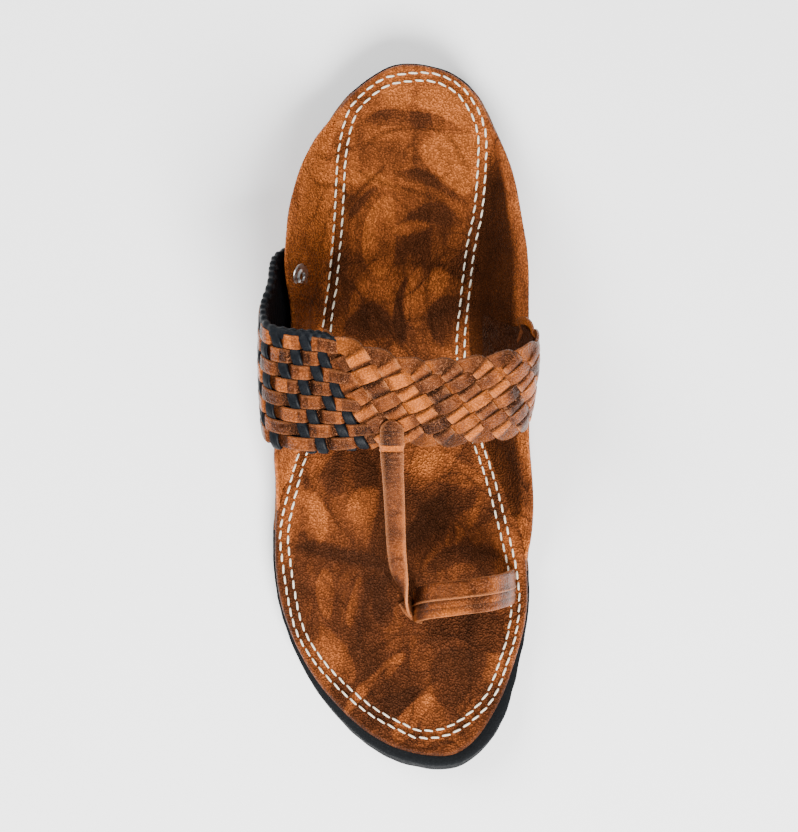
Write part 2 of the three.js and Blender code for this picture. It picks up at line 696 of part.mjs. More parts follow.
// Where the parallel strips of the outer side give way to the braid: further towards the arch
// at the front edge than at the rear edge.
const BRAID_START_ROW = 8.65;
const BRAID_SLANT = 0.6;
const braidStart = (b) => lengthAtV(vOfRow(BRAID_START_ROW)) + BRAID_SLANT * b;
const bandWidthAt = (a) => bandMiddle(vAt(a), 0).distanceTo(bandMiddle(vAt(a), 1));

// Pieces of the parallel strips that show between the woven cords.
function checkerPieces() {
  const pieces = [];
  const first = CORD_PITCH / 2;
  const visible = 2 * CORD_PITCH - CORD_WIDTH;
  const last = Math.ceil(BAND_LENGTH / CORD_PITCH);
  for (let row = 0; row < STRIP_ROWS; row++) {
    for (let cord = 0; cord < last; cord++) {
      const a = first + cord * CORD_PITCH;
      const pitch = bandWidthAt(a) / STRIP_ROWS;
      const b = (row + 0.5 - STRIP_ROWS / 2) * pitch;
      if ((row + cord) % 2 === 0 || a + visible / 2 > braidStart(b)) continue;
      const half = (pitch - STRIP_GAP) / 2;
      const from = Math.max(a - visible / 2, 1);
      const to = a + visible / 2;
      pieces.push([
        [from, b - half],
        [to, b - half],
        [to, b + half],
        [from, b + half],
      ]);
    }
  }
  return pieces;
}

// Visible squares of the braid: strips climb to the rear edge and fall back to the front edge,
// and pass over one another by turns.
function braidPieces() {
  const rise = Math.tan(THREE.MathUtils.degToRad(BRAID_RISE_ANGLE));
  const fall = Math.tan(THREE.MathUtils.degToRad(BRAID_FALL_ANGLE));
  const stepA = [(BRAID_PITCH * rise) / (rise + fall), (BRAID_PITCH * rise * fall) / (rise + fall)];
  const stepB = [(BRAID_PITCH * fall) / (rise + fall), (-BRAID_PITCH * rise * fall) / (rise + fall)];
  const origin = lengthAtV(vOfRow(BRAID_START_ROW));
  const tucked = BAND_ROWS.findIndex((row) => row.wall === "medial");
  const rim = lengthAtV(vOfRow(tucked - 1)) + STRIP_RAISE;
  const pieces = [];
  const around = Math.ceil(BAND_LENGTH / BRAID_PITCH);
  for (let i = -around; i <= around; i++) {
    for (let j = -around; j <= around; j++) {
      const a = origin + i * stepA[0] + j * stepB[0];
      const b = i * stepA[1] + j * stepB[1];
      if (a < 0 || a > BAND_LENGTH) continue;
      const limit = bandWidthAt(a) / 2;
      const reachB = (stepA[1] - stepB[1]) / 2;
      if (a < braidStart(b) + BRAID_PITCH / 3 || a + stepA[0] / 2 > rim) continue;
      if (Math.abs(b) > limit + PAST_EDGE * reachB) continue;
      const over = (i + j) % 2 === 0;
      const seam = 0.5 - SEAM_REACH;
      const open = 0.5 - STRIP_GAP / BRAID_PITCH;
      const alongA = over ? seam : open;
      const alongB = over ? open : seam;
      const corner = (sa, sb) => {
        const ca = a + sa * alongA * stepA[0] + sb * alongB * stepB[0];
        const cb = b + sa * alongA * stepA[1] + sb * alongB * stepB[1];
        return [ca, Math.max(-limit, Math.min(limit, cb))];
      };
      const corners = [corner(-1, -1), corner(1, -1), corner(1, 1), corner(-1, 1)];
      const low = Math.min(...corners.map((c) => c[1]));
      const high = Math.max(...corners.map((c) => c[1]));
      if (high - low < SMALLEST_PIECE * reachB) continue;
      pieces.push(over ? corners : [corners[1], corners[2], corners[3], corners[0]]);
    }
  }
  return pieces;
}

// The thong strap

const thongPoint = (row) => plumbOver(row.across * BALL_WIDTH, row.at * LENGTH, row.up * BAND_RISE);
const THONG_ACROSS = -0.022; // where the strap crosses the band's front edge, share of BALL_WIDTH

function thongCrossing() {
  let best = 0;
  for (let i = 0; i <= ARC_SAMPLES; i++) {
    const miss = (v) => Math.abs(bandMiddle(v, 1).x - THONG_ACROSS * BALL_WIDTH);
    if (miss(i / ARC_SAMPLES) < miss(best)) best = i / ARC_SAMPLES;
  }
  return best;
}

// A layer of the thong: a ribbon through the points of its rows.
function thongLayer(points, rows, thick) {
  const path = new THREE.CatmullRomCurve3(points);
  const column = (name, t) => {
    const place = path.getUtoTmapping(t) * (rows.length - 1);
    const i = Math.min(rows.length - 2, Math.floor(place));
    return mix(rows[i][name], rows[i + 1][name], place - i);
  };
  const across = (t) => {
    const turn = (Math.PI / 2) * column("turn", t);
    return new THREE.Vector3(Math.cos(turn), -Math.sin(turn), 0);
  };
  return ribbon(path, 2 * rows.length, (t) => THONG_WIDTH * column("width", t), thick, across);
}

function makeThong() {
  const v = thongCrossing();
  const onTop = BAND_THICK / 2 + STRIP_RAISE + THONG_THICK / 2;
  const underneath = -(BAND_THICK + THONG_THICK) / 2 + CLEARANCE;
  const tab = TAB_ROWS.map((row) => bandPoint(v, 1 - row.back, onTop));
  const tuck = { ...THONG_BACK[0], back: THONG_TUCK };
  const front = thongLayer(
    [...tab, ...THONG_FRONT.map(thongPoint)],
    [...TAB_ROWS, ...THONG_FRONT],
    THONG_THICK + CLEARANCE,
  );
  const back = thongLayer(
    [bandPoint(v, 1 - tuck.back, underneath), ...THONG_BACK.map(thongPoint)],
    [tuck, ...THONG_BACK],
    THONG_THICK,
  );
  return front.add(back);
}

// Rivets

// Place on a wall: a frame whose +Z points out through the wall.
function rivetFrame(wall, rivet) {
  const p = wallPoint(wall, rivet.at, rivet.up, 0);
  const inner = wallPoint(wall, rivet.at, rivet.up, WALL);
  const out = p.clone().sub(inner).normalize();
  const turn = new THREE.Quaternion().setFromUnitVectors(new THREE.Vector3(0, 0, 1), out);
  return new THREE.Matrix4().compose(p, turn, new THREE.Vector3(1, 1, 1));
}

const bandStack = BAND_THICK + WALL_GAP;
const MEDIAL_STACK = { cap: 0, washer: -(WALL + bandStack) };
const LATERAL_STACK = { cap: bandStack, washer: -WALL };

const lathe = (profilePoints, around) =>
  new THREE.LatheGeometry(
    profilePoints.map(([r, z]) => new THREE.Vector2(r, z)),
    around,
  ).rotateX(Math.PI / 2);

// Cap, shank and washer in one turned profile. cap and washer are the levels of the faces that
// they bear on.
function rivetGeometry({ cap, washer }) {
  const under = cap + CLEARANCE;
  const over = washer - CLEARANCE;
  const r = RIVET_CAP / 2;
  const shank = RIVET_SHANK / 2;
  const w = RIVET_WASHER / 2;
  return lathe(
    [
      [0, under + RIVET_CAP_THICK],
      [0.6 * r, under + RIVET_CAP_THICK * 0.92],
      [0.92 * r, under + RIVET_CAP_THICK * 0.66],
      [r, under + RIVET_CAP_THICK * 0.2],
      [0.96 * r, under],
      [shank, under],
      [shank, over],
      [w, over],
      [w * 0.94, over - RIVET_WASHER_THICK * 0.6],
      [w * 0.6, over - RIVET_WASHER_THICK],
      [w * 0.34, over - RIVET_WASHER_THICK * 1.6],
      [w * 0.24, over],
      [0, over + 0.5 * shank],
    ],
    RIVET_FACETS,
  );
}

const rod = (radius, from, to) =>
  lathe(
    [
      [0, from],
      [radius, from],
      [radius, to],
      [0, to],
    ],
    RIVET_FACETS,
  );

function placed(geometry, frame) {
  return geometry.clone().applyMatrix4(frame);
}

// What a rivet takes out of the pieces that it holds: the shank's hole, and a flat seat for the
// cap on one side and for the washer on the other.
function rivetCut({ cap, washer }, frame) {
  const reach = 6;
  const cuts = [
    rod(RIVET_SHANK / 2 + CLEARANCE, washer - reach, cap + reach),
    rod(RIVET_CAP / 2 + CLEARANCE, cap, cap + reach),
    rod(RIVET_WASHER / 2 + CLEARANCE, washer - reach, washer),
  ];
  return wasm.Manifold.union(cuts.map((cut) => solidOf(placed(cut, frame))));
}

const makeRivet = ({ stack, frame }) => placed(rivetGeometry(stack), frame);

// The upper: band, thong and ring as one solid, with the rivets' holes and seats.
function makeUpper() {
  const relief = [...checkerPieces(), ...braidPieces()].map(raisedPiece);
  const whole = wasm.Manifold.union([makeBandWall(), ...relief, makeThong(), makeToeRing()]);
  const cuts = RIVETS.map(({ stack, frame }) => rivetCut(stack, frame));
  return geometryOfSolid(cuts.reduce((solid, cut) => solid.subtract(cut), whole));
}

function makeDrilledWall(wall, { stack, frame }) {
  return geometryOfSolid(solidOf(makeWall(wall)).subtract(rivetCut(stack, frame)));
}

// Assembly

const LOOKS = {
  foam: { color: COLOURS.foam, roughness: 0.9, metalness: 0 },
  leather: { color: COLOURS.leather, roughness: 0.55, metalness: 0 },
  dark_leather: { color: COLOURS.dark_leather, roughness: 0.55, metalness: 0 },
  silver: { color: COLOURS.silver, roughness: 0.3, metalness: 1 },
};

function piece(name, geometry, look) {
  const outward = geometryOfSolid(solidOf(geometry));
  const mesh = new THREE.Mesh(outward, new THREE.MeshStandardMaterial(LOOKS[look]));
  mesh.name = name;
  return mesh;
}

const medialRivet = { stack: MEDIAL_STACK, frame: rivetFrame(WALLS.medial, MEDIAL_RIVET) };
const lateralRivet = { stack: LATERAL_STACK, frame: rivetFrame(WALLS.lateral, LATERAL_RIVET) };
const RIVETS = [medialRivet, lateralRivet];

const sandal = new THREE.Group();
sandal.name = "sandal";
sandal.add(piece("outsole", makeOutsole(), "foam"));
sandal.add(piece("heel_lift", makeHeelLift(), "foam"));
sandal.add(piece("footbed", makeFootbed(), "leather"));
sandal.add(piece("medial_flank", makeDrilledWall(WALLS.medial, medialRivet), "leather"));
sandal.add(piece("lateral_flank", makeDrilledWall(WALLS.lateral, lateralRivet), "leather"));
sandal.add(piece("upper", makeUpper(), "dark_leather"));
sandal.add(piece("medial_rivet", makeRivet(medialRivet), "silver"));
sandal.add(piece("lateral_rivet", makeRivet(lateralRivet), "silver"));

// The part's origin is the middle of its footprint, on the floor.
const bounds = new THREE.Box3().setFromObject(sandal);
const centre = bounds.getCenter(new THREE.Vector3());
sandal.position.set(-centre.x, -centre.y, -bounds.min.z);

export default sandal;
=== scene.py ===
# Kolhapuri sandal for the right foot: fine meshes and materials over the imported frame.
# Sizes are in millimetres until a mesh is made. +Z is up, the toe points to -Y.
import math

import bpy
import numpy as np
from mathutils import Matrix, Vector


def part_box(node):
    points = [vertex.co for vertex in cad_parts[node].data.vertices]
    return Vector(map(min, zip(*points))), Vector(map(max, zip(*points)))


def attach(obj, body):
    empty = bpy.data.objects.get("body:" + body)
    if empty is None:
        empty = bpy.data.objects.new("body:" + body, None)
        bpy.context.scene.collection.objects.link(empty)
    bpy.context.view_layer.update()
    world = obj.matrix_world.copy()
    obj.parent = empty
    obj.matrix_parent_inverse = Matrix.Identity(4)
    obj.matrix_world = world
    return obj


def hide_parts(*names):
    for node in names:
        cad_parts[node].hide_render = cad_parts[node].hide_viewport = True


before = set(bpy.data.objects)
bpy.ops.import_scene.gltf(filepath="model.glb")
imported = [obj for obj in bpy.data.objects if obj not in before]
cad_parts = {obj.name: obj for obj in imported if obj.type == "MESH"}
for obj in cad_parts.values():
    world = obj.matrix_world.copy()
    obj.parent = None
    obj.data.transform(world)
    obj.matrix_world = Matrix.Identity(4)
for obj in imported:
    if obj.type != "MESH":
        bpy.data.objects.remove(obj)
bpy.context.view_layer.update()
rng = np.random.default_rng(7)

# Sizes shared with the solids
LENGTH = 281.0
BALL_WIDTH = 102.0
HEEL_WIDTH = 72.0
OUTSOLE_THICK = 8.0
HEEL_LIFT = 6.0
HEEL_LENGTH = 72.0
TOE_SPRING = 15.0
FOOTBED_THICK = 4.0
CLEARANCE = 0.3
WALL = 2.6
WALL_SETBACK = 0.6
FOOTBED_SETBACK = 4.4
WALL_FLARE = 1.15
PANEL = 1.0
PANEL_DROP = 2.2
BAND_RISE = 71.0
BAND_SPAN = 105.0
BAND_THICK = 1.8
WALL_GAP = 0.8
BAND_CROWN = 0.9
THONG_WIDTH = 8.0
THONG_THICK = 1.3
RING_WIDTH = 13.4
RING_THICK = 2.4
RING_RISE = 31.5
SLOT_DEPTH = 2.6
SEAT_END = 0.27
BALL_START = 0.585
TOE_BREAK = 0.71

# along, medial, lateral
OUTLINE = np.array([
    (0, 0.062, 0.062), (0.017, 0.32, -0.136), (0.067, 0.49, -0.338), (0.146, 0.55, -0.41),
    (0.25, 0.507, -0.41), (0.371, 0.406, -0.423), (0.5, 0.38, -0.423), (0.629, 0.476, -0.48),
    (0.75, 0.513, -0.471), (0.854, 0.469, -0.372), (0.933, 0.404, -0.216), (0.983, 0.295, -0.038),
    (1, 0.163, 0.163),
])
# at, rise, lean
MEDIAL_ROWS = np.array([
    (0.046, 0.05, 0), (0.092, 0.2, 0.08), (0.139, 0.41, 0.27), (0.196, 0.63, 0.53),
    (0.256, 0.81, 0.78), (0.302, 0.91, 0.92), (0.374, 1, 1), (0.463, 0.92, 0.89),
    (0.505, 0.87, 0.83), (0.548, 0.74, 0.67), (0.605, 0.49, 0.43), (0.667, 0.15, 0.2),
    (0.708, 0.05, 0),
])
LATERAL_ROWS = np.array([
    (0.046, 0.05, 0), (0.085, 0.15, 0.16), (0.114, 0.31, 0.38), (0.171, 0.56, 0.72),
    (0.214, 0.72, 0.92), (0.256, 0.86, 0.96), (0.299, 0.96, 0.9), (0.356, 1, 0.6),
    (0.427, 0.98, 0.5), (0.498, 0.87, 0.55), (0.552, 0.58, 0.38), (0.587, 0.32, 0.2),
    (0.626, 0.13, 0.06), (0.65, 0.05, 0),
])
# at, medial, lateral: how far the footbed lies in from the outsole, shares of FOOTBED_SETBACK
FOOTBED_ROWS = np.array([
    (0, 0.22, 0.22), (0.3, 0.22, 0.22), (0.73, 0.22, 0.22), (0.81, 0.28, 0.3), (0.88, 0.64, 0.46),
    (0.94, 1, 0.6), (1, 0.8, 0.8),
])
# Shares of LENGTH over which the footbed's top runs into a wall's lining, at its rear and front
WALL_JOINS = {"medial": (0.08, 0.12, 0.63, 0.675), "lateral": (0.085, 0.125, 0.58, 0.62)}
# shade: painted shade on the lining's inner face (the medial wall's lies in shadow); lighter: painted
# light added to the lining's marbling, most on the lateral wall, which faces the light.
WALLS = {
    "medial": {"rows": MEDIAL_ROWS, "rise": 29.0, "lean": 19.5, "shade": 0.9, "lighter": 0.3},
    "lateral": {"rows": LATERAL_ROWS, "rise": 26.5, "lean": 16.0, "shade": 0.0, "lighter": 0.55},
}
# wall or (rear across, front across), rear up, front up, rear at, front at
BAND_ROWS = [
    ("lateral", 0.26, 0.26, 0.266, 0.37), ("lateral", 0.5, 0.5, 0.269, 0.38),
    ("lateral", 0.74, 0.74, 0.275, 0.394), ("lateral", 0.98, 0.96, 0.288, 0.416),
    ((-0.92, -0.9), 0.53, 0.47, 0.32, 0.47), ((-0.96, -0.955), 0.7, 0.59, 0.355, 0.512),
    ((-0.915, -0.91), 0.835, 0.68, 0.379, 0.532), ((-0.76, -0.76), 0.92, 0.745, 0.387, 0.54),
    ((-0.51, -0.51), 0.965, 0.785, 0.392, 0.542), ((-0.24, -0.24), 0.99, 0.8, 0.408, 0.536),
    ((0.05, 0.04), 1, 0.805, 0.424, 0.528), ((0.33, 0.32), 0.99, 0.795, 0.426, 0.531),
    ((0.6, 0.575), 0.955, 0.755, 0.421, 0.525), ((0.83, 0.785), 0.885, 0.69, 0.412, 0.52),
    ((0.965, 0.905), 0.775, 0.6, 0.401, 0.51), ((0.99, 0.93), 0.64, 0.505, 0.388, 0.502),
    ((0.93, 0.89), 0.51, 0.42, 0.37, 0.496), ("medial", 0.86, 0.86, 0.359, 0.489),
    ("medial", 0.64, 0.64, 0.354, 0.48), ("medial", 0.46, 0.46, 0.35, 0.472),
    ("medial", 0.32, 0.32, 0.346, 0.466),
]
# across, up, at
RING_ROWS = [
    (0.067, 0, 0.766), (0.07, 0.22, 0.766), (0.083, 0.56, 0.763), (0.13, 0.87, 0.758),
    (0.24, 1, 0.752), (0.348, 0.89, 0.746), (0.412, 0.6, 0.741), (0.44, 0.28, 0.738),
    (0.449, 0, 0.737),
]
# across, up, at, width, turn
THONG_FRONT = [
    (-0.021, 0.775, 0.548, 1.12, 0), (-0.018, 0.725, 0.573, 1.02, 0), (-0.014, 0.655, 0.6, 1, 0),
    (-0.0095, 0.55, 0.64, 0.96, 0.05), (-0.003, 0.45, 0.687, 0.92, 0.25),
    (0.014, 0.345, 0.728, 0.9, 0.62), (0.037, 0.23, 0.754, 0.9, 0.94), (0.05, 0.11, 0.765, 0.9, 1),
    (0.052, 0.037, 0.766, 0.9, 1),
]
THONG_BACK = [
    (-0.021, 0.735, 0.53, 0.98, 0), (-0.018, 0.67, 0.562, 0.98, 0), (-0.014, 0.605, 0.59, 0.96, 0),
    (-0.0095, 0.526, 0.632, 0.9, 0.05), (-0.004, 0.46, 0.678, 0.8, 0.2),
]
THONG_ACROSS = -0.022
# Outer stitch row on the footbed: across and along from the heel, in millimetres
STITCH_ROW = [
    (6.0, 4.5), (16.0, 5.2), (24.5, 9.6), (29.8, 16.0), (33.2, 23.0), (34.8, 31.5), (34.2, 47.5),
    (33.0, 60.0), (30.6, 71.5), (29.4, 79.5), (27.6, 95.5), (26.4, 108.0), (27.0, 124.0),
    (30.4, 141.0), (36.2, 158.0), (40.0, 171.0), (44.0, 187.0), (47.0, 201.0), (48.0, 214.5),
    (46.6, 227.0), (43.4, 238.5), (37.4, 254.0), (27.6, 264.6), (17.6, 269.8), (7.8, 270.3),
    (2.0, 268.0), (-9.8, 261.4), (-21.6, 251.5), (-33.4, 238.0), (-41.4, 222.0), (-46.0, 194.5),
    (-46.2, 183.0), (-43.8, 171.2), (-39.8, 155.5), (-34.8, 141.0), (-31.5, 125.0), (-30.0, 110.0),
    (-29.0, 98.5), (-27.2, 87.0), (-26.0, 75.0), (-25.0, 63.5), (-24.2, 47.5), (-23.4, 36.0),
    (-20.8, 23.5), (-16.6, 15.5), (-6.0, 7.0),
]
STITCH_PITCH = 4.55
ROW_STEP = 3.1
STITCH_LENGTH = 3.5
THREAD_WIDTH = 0.8
THREAD_HEIGHT = 0.6
# Where the black cords cross the band's rear edge and its front edge, in millimetres across
CORDS_SEEN = [(-48.8, -45.4), (-45.1, -32.4), (-39.1, -27.9), (-34.9, -17.4), (-30.2, -12.7)]
CORDS_BELOW = 6
CORD_STEP = (5.4, 7.2)
ZONE_EDGE = (-26.5, -8.0)


def mix(a, b, t):
    return a + (b - a) * t


def smoothstep(t):
    t = np.clip(t, 0, 1)
    return t * t * (3 - 2 * t)


def lookup(rows, column, at):
    at = np.asarray(at, float)
    x = rows[:, 0]
    y = rows[:, column]
    slope = np.empty_like(y)
    slope[1:-1] = (y[2:] - y[:-2]) / (x[2:] - x[:-2])
    slope[0] = (y[1] - y[0]) / (x[1] - x[0])
    slope[-1] = (y[-1] - y[-2]) / (x[-1] - x[-2])
    i = np.clip(np.searchsorted(x, at) - 1, 0, len(x) - 2)
    span = x[i + 1] - x[i]
    t = np.clip((at - x[i]) / span, 0, 1)
    h00 = 2 * t**3 - 3 * t**2 + 1
    h10 = t**3 - 2 * t**2 + t
    h01 = 3 * t**2 - 2 * t**3
    h11 = t**3 - t**2
    return h00 * y[i] + h10 * span * slope[i] + h01 * y[i + 1] + h11 * span * slope[i + 1]


def hermite(x1, x2, t1, t2, t):
    c2 = -3 * x1 + 3 * x2 - 2 * t1 - t2
    c3 = 2 * x1 - 2 * x2 + t1 + t2
    return x1 + t1 * t + c2 * t**2 + c3 * t**3


def closed_curve(points, t):
    p = np.asarray(points, float)
    n = len(p)
    s = (np.asarray(t, float) % 1) * n
    i = np.floor(s).astype(int) % n
    w = (s - np.floor(s))[..., None]
    p0, p1, p2, p3 = p[(i - 1) % n], p[i], p[(i + 1) % n], p[(i + 2) % n]
    return hermite(p1, p2, 0.5 * (p2 - p0), 0.5 * (p3 - p1), w)


def root_gap(a, b):
    return np.maximum(np.sqrt(np.linalg.norm(a - b, axis=-1)), 1e-4)[..., None]


def open_curve(points, t):
    p = np.asarray(points, float)
    p = np.vstack([2 * p[0] - p[1], p, 2 * p[-1] - p[-2]])
    n = len(p) - 3
    s = np.clip(np.asarray(t, float), 0, 1) * n
    i = np.minimum(np.floor(s).astype(int), n - 1)
    w = (s - i)[..., None]
    x0, x1, x2, x3 = p[i], p[i + 1], p[i + 2], p[i + 3]
    d0, d1, d2 = root_gap(x0, x1), root_gap(x1, x2), root_gap(x2, x3)
    t1 = ((x1 - x0) / d0 - (x2 - x0) / (d0 + d1) + (x2 - x1) / d1) * d1
    t2 = ((x2 - x1) / d1 - (x3 - x1) / (d1 + d2) + (x3 - x2) / d2) * d1
    return hermite(x1, x2, t1, t2, w)


def unit(v):
    return v / np.maximum(np.linalg.norm(v, axis=-1, keepdims=True), 1e-9)


def square_to(direction, v):
    """Unit vector nearest to v at right angles to a direction."""
    return unit(v - (v * direction).sum(-1, keepdims=True) * direction)


def run_along(points):
    """Length along a line of points, from its start to each point."""
    return np.concatenate([[0], np.cumsum(np.linalg.norm(np.diff(points, axis=0), axis=1))])


def circle(count):
    return np.linspace(0, 2 * math.pi, count, endpoint=False)


# The sole's plan and profile


def width_at(along):
    return mix(HEEL_WIDTH, BALL_WIDTH, smoothstep((along - 0.25) / 0.35))


half = [(m * width_at(a), a * LENGTH) for a, m, _ in OUTLINE]
other = [(l * width_at(a), a * LENGTH) for a, _, l in OUTLINE[1:-1][::-1]]
OUTLINE_POINTS = np.array(half + other)


def plan(t, inset=0.0):
    t = np.asarray(t, float)
    p = closed_curve(OUTLINE_POINTS, t)
    along = unit(closed_curve(OUTLINE_POINTS, t + 1e-3) - closed_curve(OUTLINE_POINTS, t - 1e-3))
    return p[..., 0] - along[..., 1] * inset, p[..., 1] + along[..., 0] * inset


def round_at(side, u):
    t = np.arccos(1 - 2 * np.clip(u / LENGTH, 0, 1)) / (2 * math.pi)
    return t if side == "medial" else 1 - t


def profile(u):
    u = np.asarray(u, float)
    seat, ball, toe = SEAT_END * LENGTH, BALL_START * LENGTH, TOE_BREAK * LENGTH
    radius = (LENGTH - toe) ** 2 / (2 * TOE_SPRING)
    up = (u - toe) / radius
    t = np.clip((u - seat) / (ball - seat), 0, 1)
    front = u > toe
    forward = np.where(front, toe + radius * np.sin(up), u)
    z = np.where(front, radius * (1 - np.cos(up)), HEEL_LIFT * (1 - smoothstep(t)))
    pitch = np.where(front, up, -HEEL_LIFT * 6 * t * (1 - t) / (ball - seat))
    return forward, z, pitch


def raw_on_sole(x, u, h):
    forward, z, pitch = profile(u)
    x = np.asarray(x, float) + 0 * forward
    return np.stack([x, h * np.sin(pitch) - forward, z + h * np.cos(pitch)], -1)


cad = np.array([list(c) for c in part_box("outsole")]) * 1000
ring_t = (np.arange(64) + 0.5) / 64
raw = raw_on_sole(*plan(ring_t), 4.0)
SHIFT = np.array([cad[0][0] - raw[:, 0].min(), cad[1][1] - raw[:, 1].max(), 0.0])


def on_sole(x, u, h):
    return raw_on_sole(x, u, h) + SHIFT


def over(x, u, up):
    return on_sole(x, u, OUTSOLE_THICK + up)


def plumb(x, u, up):
    forward, z, _ = profile(u)
    x = np.asarray(x, float) + 0 * forward
    return np.stack([x, -forward, z + OUTSOLE_THICK + up], -1) + SHIFT


# Mesh helpers


def put_in_scene(name, data, place=(0, 0, 0)):
    obj = bpy.data.objects.new(name, data)
    obj.location = place
    bpy.context.scene.collection.objects.link(obj)
    return obj


def new_object(name, verts, faces, material, smooth=40, colours=None):
    mesh = bpy.data.meshes.new(name)
    mesh.from_pydata((np.asarray(verts) * 0.001).tolist(), [], faces)
    mesh.validate()
    if colours is not None:
        layer = mesh.color_attributes.new("tone", "FLOAT_COLOR", "POINT")
        flat = np.ones((len(mesh.vertices), 4), np.float32)
        flat[:, :3] = colours[: len(mesh.vertices)]
        layer.data.foreach_set("color", flat.ravel())
    mesh.polygons.foreach_set("use_smooth", [True] * len(mesh.polygons))
    mesh.set_sharp_from_angle(angle=math.radians(smooth))
    mesh.materials.append(material)
    obj = put_in_scene(name, mesh)
    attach(obj, "root")
    return obj


def grid_faces(rows, cols, close_cols=False, start=0, flip=False):
    faces = []
    last = cols if close_cols else cols - 1
    for r in range(rows - 1):
        for c in range(last):
            a = start + r * cols + c
            b = start + r * cols + (c + 1) % cols
            quad = (a, b, b + cols, a + cols)
            faces.append(quad[::-1] if flip else quad)
    return faces


def ladder(n, start, flip):
    faces = []
    for i in range(n // 2 - 1):
        j = n - 1 - i
        quad = (start + i, start + j, start + j - 1, start + i + 1)
        faces.append(quad[::-1] if flip else quad)
    return faces


def closed_body(name, grid, material, smooth, colours=None):
    """A stack of rings, closed over its first and its last ring."""
    rows, n = grid.shape[:2]
    faces = grid_faces(rows, n, True) + ladder(n, 0, False) + ladder(n, (rows - 1) * n, True)
    return new_object(name, grid.reshape(-1, 3), faces, material, smooth, colours)


class Parts:
    """Verts, faces and colours of several grids gathered into one mesh."""

    def __init__(self):
        self.verts = []
        self.faces = []
        self.colours = []
        self.count = 0

    def add(self, grid, colour=None, close_cols=False, cap=False, flip=False):
        rows, cols = grid.shape[:2]
        self.verts.append(grid.reshape(-1, 3))
        self.faces += grid_faces(rows, cols, close_cols, self.count, flip)
        if cap:
            for r in (0, rows - 1):
                loop = [self.count + r * cols + c for c in range(cols)]
                self.faces.append(tuple(loop if (r > 0) != flip else loop[::-1]))
        if colour is None:
            colour = np.zeros((rows, cols, 3))
        self.colours.append(np.broadcast_to(colour, (rows, cols, 3)).reshape(-1, 3))
        self.count += rows * cols

    def tube(self, rows, shade, flip=False):
        colour = np.clip(np.stack(shade, 1), 0, 1)
        self.add(np.stack(rows, 1), colour, close_cols=True, cap=True, flip=flip)

    def build(self, name, material, smooth=40):
        return new_object(name, np.vstack(self.verts), self.faces, material, smooth,
                          np.vstack(self.colours))


def wobble(p, scale, seed=0):
    """Smooth pseudo-random field in -1..1 over points in millimetres."""
    p = np.asarray(p, float)
    out = np.zeros(p.shape[:-1])
    gen = np.random.default_rng(seed)
    for _ in range(6):
        k = gen.normal(size=p.shape[-1])
        k *= (2 * math.pi / scale) * gen.uniform(0.6, 1.5) / np.linalg.norm(k)
        out += np.sin(p @ k + gen.uniform(0, 6.28))
    return out / 3.2


# Materials


